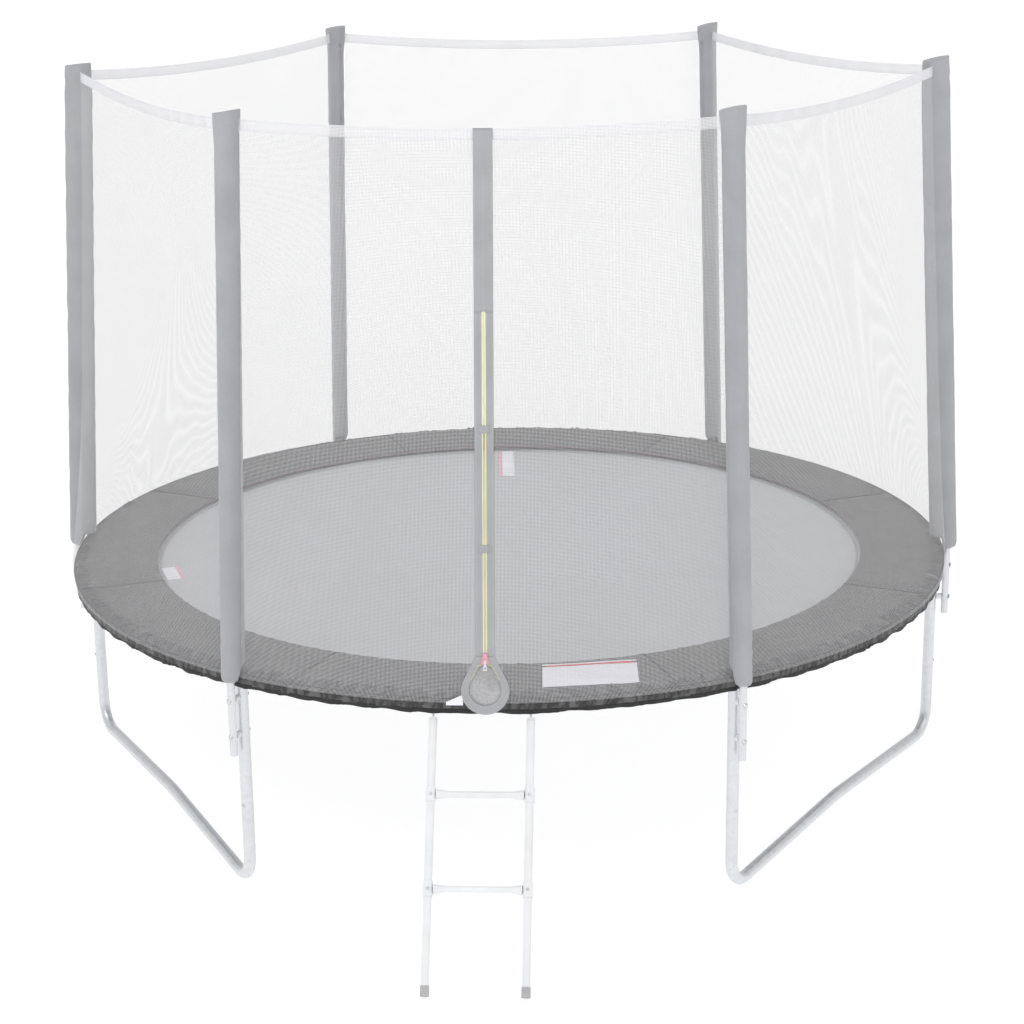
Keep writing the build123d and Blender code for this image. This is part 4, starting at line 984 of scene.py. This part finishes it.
def ray_to(shapes, turn):
    """How far a ray from the loop's middle runs before it leaves a set of circles and polygons."""
    d = np.array([math.sin(turn), math.cos(turn)])
    start = np.array([0.0, LOOP_MIDDLE])
    best = 0.0
    for kind in shapes:
        if isinstance(kind, tuple):
            centre, radius = kind
            f = start - np.array([0.0, centre])
            b = f @ d
            best = max(best, -b + math.sqrt(max(0.0, b * b - f @ f + radius * radius)))
        else:
            for p, q in zip(kind, kind[1:] + kind[:1]):
                p, q = np.array(p), np.array(q)
                e = q - p
                cross = d[0] * e[1] - d[1] * e[0]
                if abs(cross) < 1e-12:
                    continue
                w = p - start
                t = (w[0] * e[1] - w[1] * e[0]) / cross
                u = (w[0] * d[1] - w[1] * d[0]) / cross
                if 0 <= u <= 1 and t > best:
                    best = t
    return best


outer_shapes = [(0.0095, 0.0715), [(-0.0285, 0.112), (0.0285, 0.112), (0.0643, 0.041), (-0.0643, 0.041)]]
inner_shapes = [(0.013, 0.048), [(-0.018, 0.083), (0.018, 0.083), (0.0432, 0.0341), (-0.0432, 0.0341)]]
loop_turns = np.linspace(0, 2 * pi, 192, endpoint=False)
outer_reach = np.array([ray_to(outer_shapes, t) for t in loop_turns])
inner_reach = np.array([ray_to(inner_shapes, t) for t in loop_turns])
ray = np.stack([np.sin(loop_turns), np.cos(loop_turns)], -1)
mix_profile = [(0.0, 0.5), (0.04, 0.95), (0.12, 1.0), (0.3, 0.93), (0.5, 0.93), (0.7, 0.93)]
mix_profile += [(0.88, 1.0), (0.96, 0.95), (1.0, 0.5)]
mix_profile += [(0.96, 0.06), (0.5, 0.0), (0.04, 0.06)]
loop_rows = []
for mix, lift in mix_profile:
    reach = inner_reach + (outer_reach - inner_reach) * mix
    flat = ray * reach[:, None]
    loop_rows.append(on_door(flat[:, 0], LOOP_MIDDLE + flat[:, 1], LOOP_LIFT + lift * TAPE_THICKNESS))
loop_points = np.stack(loop_rows, 1)
loop_along, loop_across = np.linspace(0, 0.44, 193), np.linspace(0, 0.05, len(mix_profile) + 1)
loop_uv = np.stack(np.meshgrid(loop_along, loop_across, indexing="ij"), -1)
doorway_loop = Shape().grid(loop_points, loop_uv, (True, True)).make("doorway_loop", door_webbing)
finish_piece(doorway_loop, "frame", ["entry_loop"])
loop_sewing = Shape()
for mix in (0.12, 0.88):
    reach = inner_reach + (outer_reach - inner_reach) * mix
    flat = ray * reach[:, None]
    line = on_door(flat[:, 0], LOOP_MIDDLE + flat[:, 1], LOOP_LIFT + TAPE_THICKNESS)
    count = 72
    picks = (np.arange(count) * len(line) / count).astype(int)
    steps = [line[(p + 1) % len(line)] - line[p - 1] for p in picks]
    steps = [d / np.linalg.norm(d) for d in steps]
    sideways = [np.cross(DOOR_OUT, d) for d in steps]
    loop_sewing.studs(line[picks], steps, sideways, [DOOR_OUT] * count, (0.0038, 0.0008, 0.0004))
loop_stitching = loop_sewing.make("loop_stitching", thread_white)
finish_piece(loop_stitching, "frame")

# a crumpled flap of cloth behind the keyhole, and a folded tag beside it
flap_x, flap_s = np.meshgrid(np.linspace(-0.053, 0.053, 30), np.linspace(-0.038, 0.082, 34), indexing="ij")
flap_lift = 0.0011 * waves(flap_s * 60 + flap_x * 25, 71, 5, 0.8, 2.6) * waves(flap_x * 40, 72, 4, 0.8, 2.4)
flap_lift = flap_lift - 0.0032
flap_points = on_door(flap_x, flap_s, flap_lift)
flap = Shape().grid(flap_points, np.stack([flap_x, flap_s], -1)).make("doorway_flap", flap_cloth)
finish_piece(flap, "frame")
tag_x, tag_t = np.meshgrid(np.linspace(-0.116, -0.066, 12), np.linspace(0, 1, 8), indexing="ij")
tag_rise = 0.010 + 0.022 * (tag_x + 0.116) / 0.05
tag_lift = 0.0030 + 0.0008 * np.sin((tag_x + 0.116) / 0.05 * pi)
tag_points = on_door(tag_x, -0.034 + tag_rise * tag_t, tag_lift)
tag = Shape().grid(tag_points, np.stack([tag_x, tag_t * 0.03], -1)).make("sewn_tag", label_cloth)
finish_piece(tag, "frame")

# zip coils, and the open ends that part below the slider
coils = Shape()
tooth_pitch = 0.0026
for sign in (-1, 1):
    spots = np.arange(ZIP_LOW + 0.001, ZIP_HIGH - 0.002, tooth_pitch) + (tooth_pitch / 2 if sign > 0 else 0)
    for face in (-1, 1):
        n = len(spots)
        centres = on_door(np.full(n, sign * 0.0013), spots, 0.0)
        coils.studs(centres, [ACROSS] * n, [DOOR_UP] * n, [DOOR_OUT * face] * n, (0.0046, 0.0017, 0.0017))
    bend = np.array([(0.0050, 0.0885), (0.0185, 0.0835), (0.0300, 0.0640), (0.0400, 0.0440)])
    n = 16
    t = np.linspace(0, 1, n)
    run = np.array([np.interp(t, (0, 0.3, 0.65, 1), bend[:, k]) for k in (0, 1)]).T
    step = np.gradient(run, axis=0)
    step /= np.linalg.norm(step, axis=1)[:, None]
    centres = on_door(sign * (run[:, 0] + 0.001), run[:, 1], LOOP_LIFT + TAPE_THICKNESS)
    along = [sign * d[1] * ACROSS - d[0] * DOOR_UP for d in step]
    sideways = [np.cross(DOOR_OUT, a) for a in along]
    coils.studs(centres, along, sideways, [DOOR_OUT] * n, (0.0050, 0.0019, 0.0016))
for sign in (-1, 1):
    s = np.linspace(ZIP_LOW, ZIP_HIGH, 90)
    door_band(coils, np.full(90, sign * 0.0046), s, 0.0012, 0.0017, 0.0007)
zip_coils = coils.make("zip_coils", zip_yellow)
finish_piece(zip_coils, "frame", ["zip_teeth"])

patches = Shape()
for place in PATCH_PLACES:
    s = np.linspace(place - PATCH_HALF_HEIGHT, place + PATCH_HALF_HEIGHT, 9)
    door_band(patches, np.zeros(9), s, PATCH_HALF_WIDTH, 0.0024, 0.0011)
zip_patches = patches.make("zip_patches", door_webbing)
finish_piece(zip_patches, "frame", ["zip_tabs"])

# ---- plain labels, with no words on them


def patch(name, corner, u_dir, v_dir, width, height, material, height_at=None):
    """A thin flat label: height_at gives the surface under it."""
    last = 12
    u, v = np.meshgrid(np.linspace(0, width, last + 1), np.linspace(0, height, last + 1), indexing="ij")
    points = corner + u[..., None] * u_dir + v[..., None] * v_dir
    if height_at is not None:
        points[..., 2] = height_at(points)
    thick = 0.0005
    lid = points + UP * thick
    shape = Shape().grid(lid, np.stack([u, v], -1)).grid(points[:, ::-1], np.stack([u, v], -1)[:, ::-1])
    edge = [(i, 0) for i in range(last)] + [(last, j) for j in range(last)]
    edge += [(i, last) for i in range(last, 0, -1)] + [(0, j) for j in range(last, 0, -1)]
    wall = np.stack([[points[i, j] for i, j in edge], [lid[i, j] for i, j in edge]], 1)
    shape.grid(wall, np.zeros((len(edge) + 1, 2, 2)), (True, False))
    return shape.make(name, material)


def over_pad(points):
    reach = np.hypot(points[..., 0], points[..., 1])
    turn = np.arctan2(points[..., 0], -points[..., 1]) % (2 * pi)
    row = np.round(turn / (2 * pi) * ROUND).astype(int) % ROUND
    share = np.clip((reach - PAD_INNER_R) / pad_width, 0, 1)
    return PAD_EDGE_Z + np.vectorize(lambda s, k: float(pad_top(s, k)))(share, row) + 0.0004


label_side, label_up = tangent(9.0), -outward(2.5)
label_foot = np.array([0.178, -1.464, 0.0])
pad_labels = [
    ("pad_label", 0.0, 0.0, 0.290, 0.160, label_cloth),
    ("pad_label_band", 0.012, 0.161, 0.266, 0.018, label_red),
    ("pad_label_edge", 0.0, 0.180, 0.290, 0.012, label_cloth),
]
for name, along_by, up_by, width, height, material in pad_labels:
    corner = label_foot + label_up * up_by + label_side * along_by
    made = patch(name, corner, label_side, label_up, width, height, material, over_pad)
    finish_piece(made, "frame")

LABEL_Z = 0.0002
mat_labels = [
    ("mat_label_back", 3.5, (-0.071, 0.873), 0.046, 0.360, label_cloth),
    ("mat_label_back_stripe", 3.5, (-0.0862, 0.8722), 0.0150, 0.360, label_pink),
    ("mat_label_side", 21.0, (-1.152, -0.414), 0.046, 0.133, label_cloth),
    ("mat_label_side_stripe", 21.0, (-1.1086, -0.3973), 0.012, 0.133, label_pink),
]
for name, turn_by, (x, y), width, height, material in mat_labels:
    made = patch(name, np.array([x, y, LABEL_Z]), tangent(turn_by), -outward(turn_by), width, height, material)
    dish(made)

# ---- ribbed caps on the ladder's feet
TILT = math.radians(36)
LADDER_HALF = 0.145
CAP_R = 0.0138
GROOVE_R = 0.0131
RIB_PITCH = 0.0046
HINGE_Y = -math.sqrt(RIM_R ** 2 - LADDER_HALF ** 2)
LADDER_LENGTH = (RIM_Z - FLOOR_Z - CAP_R * math.sin(TILT)) / math.cos(TILT)
down = np.array([0.0, -math.sin(TILT), -math.cos(TILT)])
cap_shape = Shape()
for sign in (-1, 1):
    hinge = np.array([sign * LADDER_HALF, HINGE_Y, RIM_Z])
    rungs = [(LADDER_LENGTH - 0.030, 0.0126), (LADDER_LENGTH - 0.0298, 0.0136)]
    for k in range(5):
        at = LADDER_LENGTH - 0.028 + k * RIB_PITCH
        rungs += [(at, CAP_R), (at + 0.0022, CAP_R), (at + 0.0026, GROOVE_R), (at + 0.0042, GROOVE_R)]
    rungs += [(LADDER_LENGTH - back, r) for back, r in ((0.0042, CAP_R), (0.0012, 0.0137), (0.0001, 0.0126))]
    path = np.array([hinge + down * at for at, _ in rungs])
    cap_shape.tube(path, np.array([r for _, r in rungs]), 40, up=ACROSS)
collars = Shape()
for sign in (-1, 1):
    hinge = np.array([sign * LADDER_HALF, HINGE_Y, RIM_Z])
    rungs = [(0.0420, 0.0118), (0.0428, 0.0128), (0.0480, 0.0131), (0.0560, 0.0131), (0.0566, 0.0126)]
    path = np.array([hinge + down * at for at, _ in rungs])
    collars.tube(path, np.array([r for _, r in rungs]), 40, up=ACROSS)
ladder_collars = collars.make("ladder_collars", white_plastic)
finish_piece(ladder_collars, "ladder")
ladder_feet = cap_shape.make("ladder_feet", foot_plastic)
finish_piece(ladder_feet, "ladder", ["ladder_caps"])

bpy.context.view_layer.update()
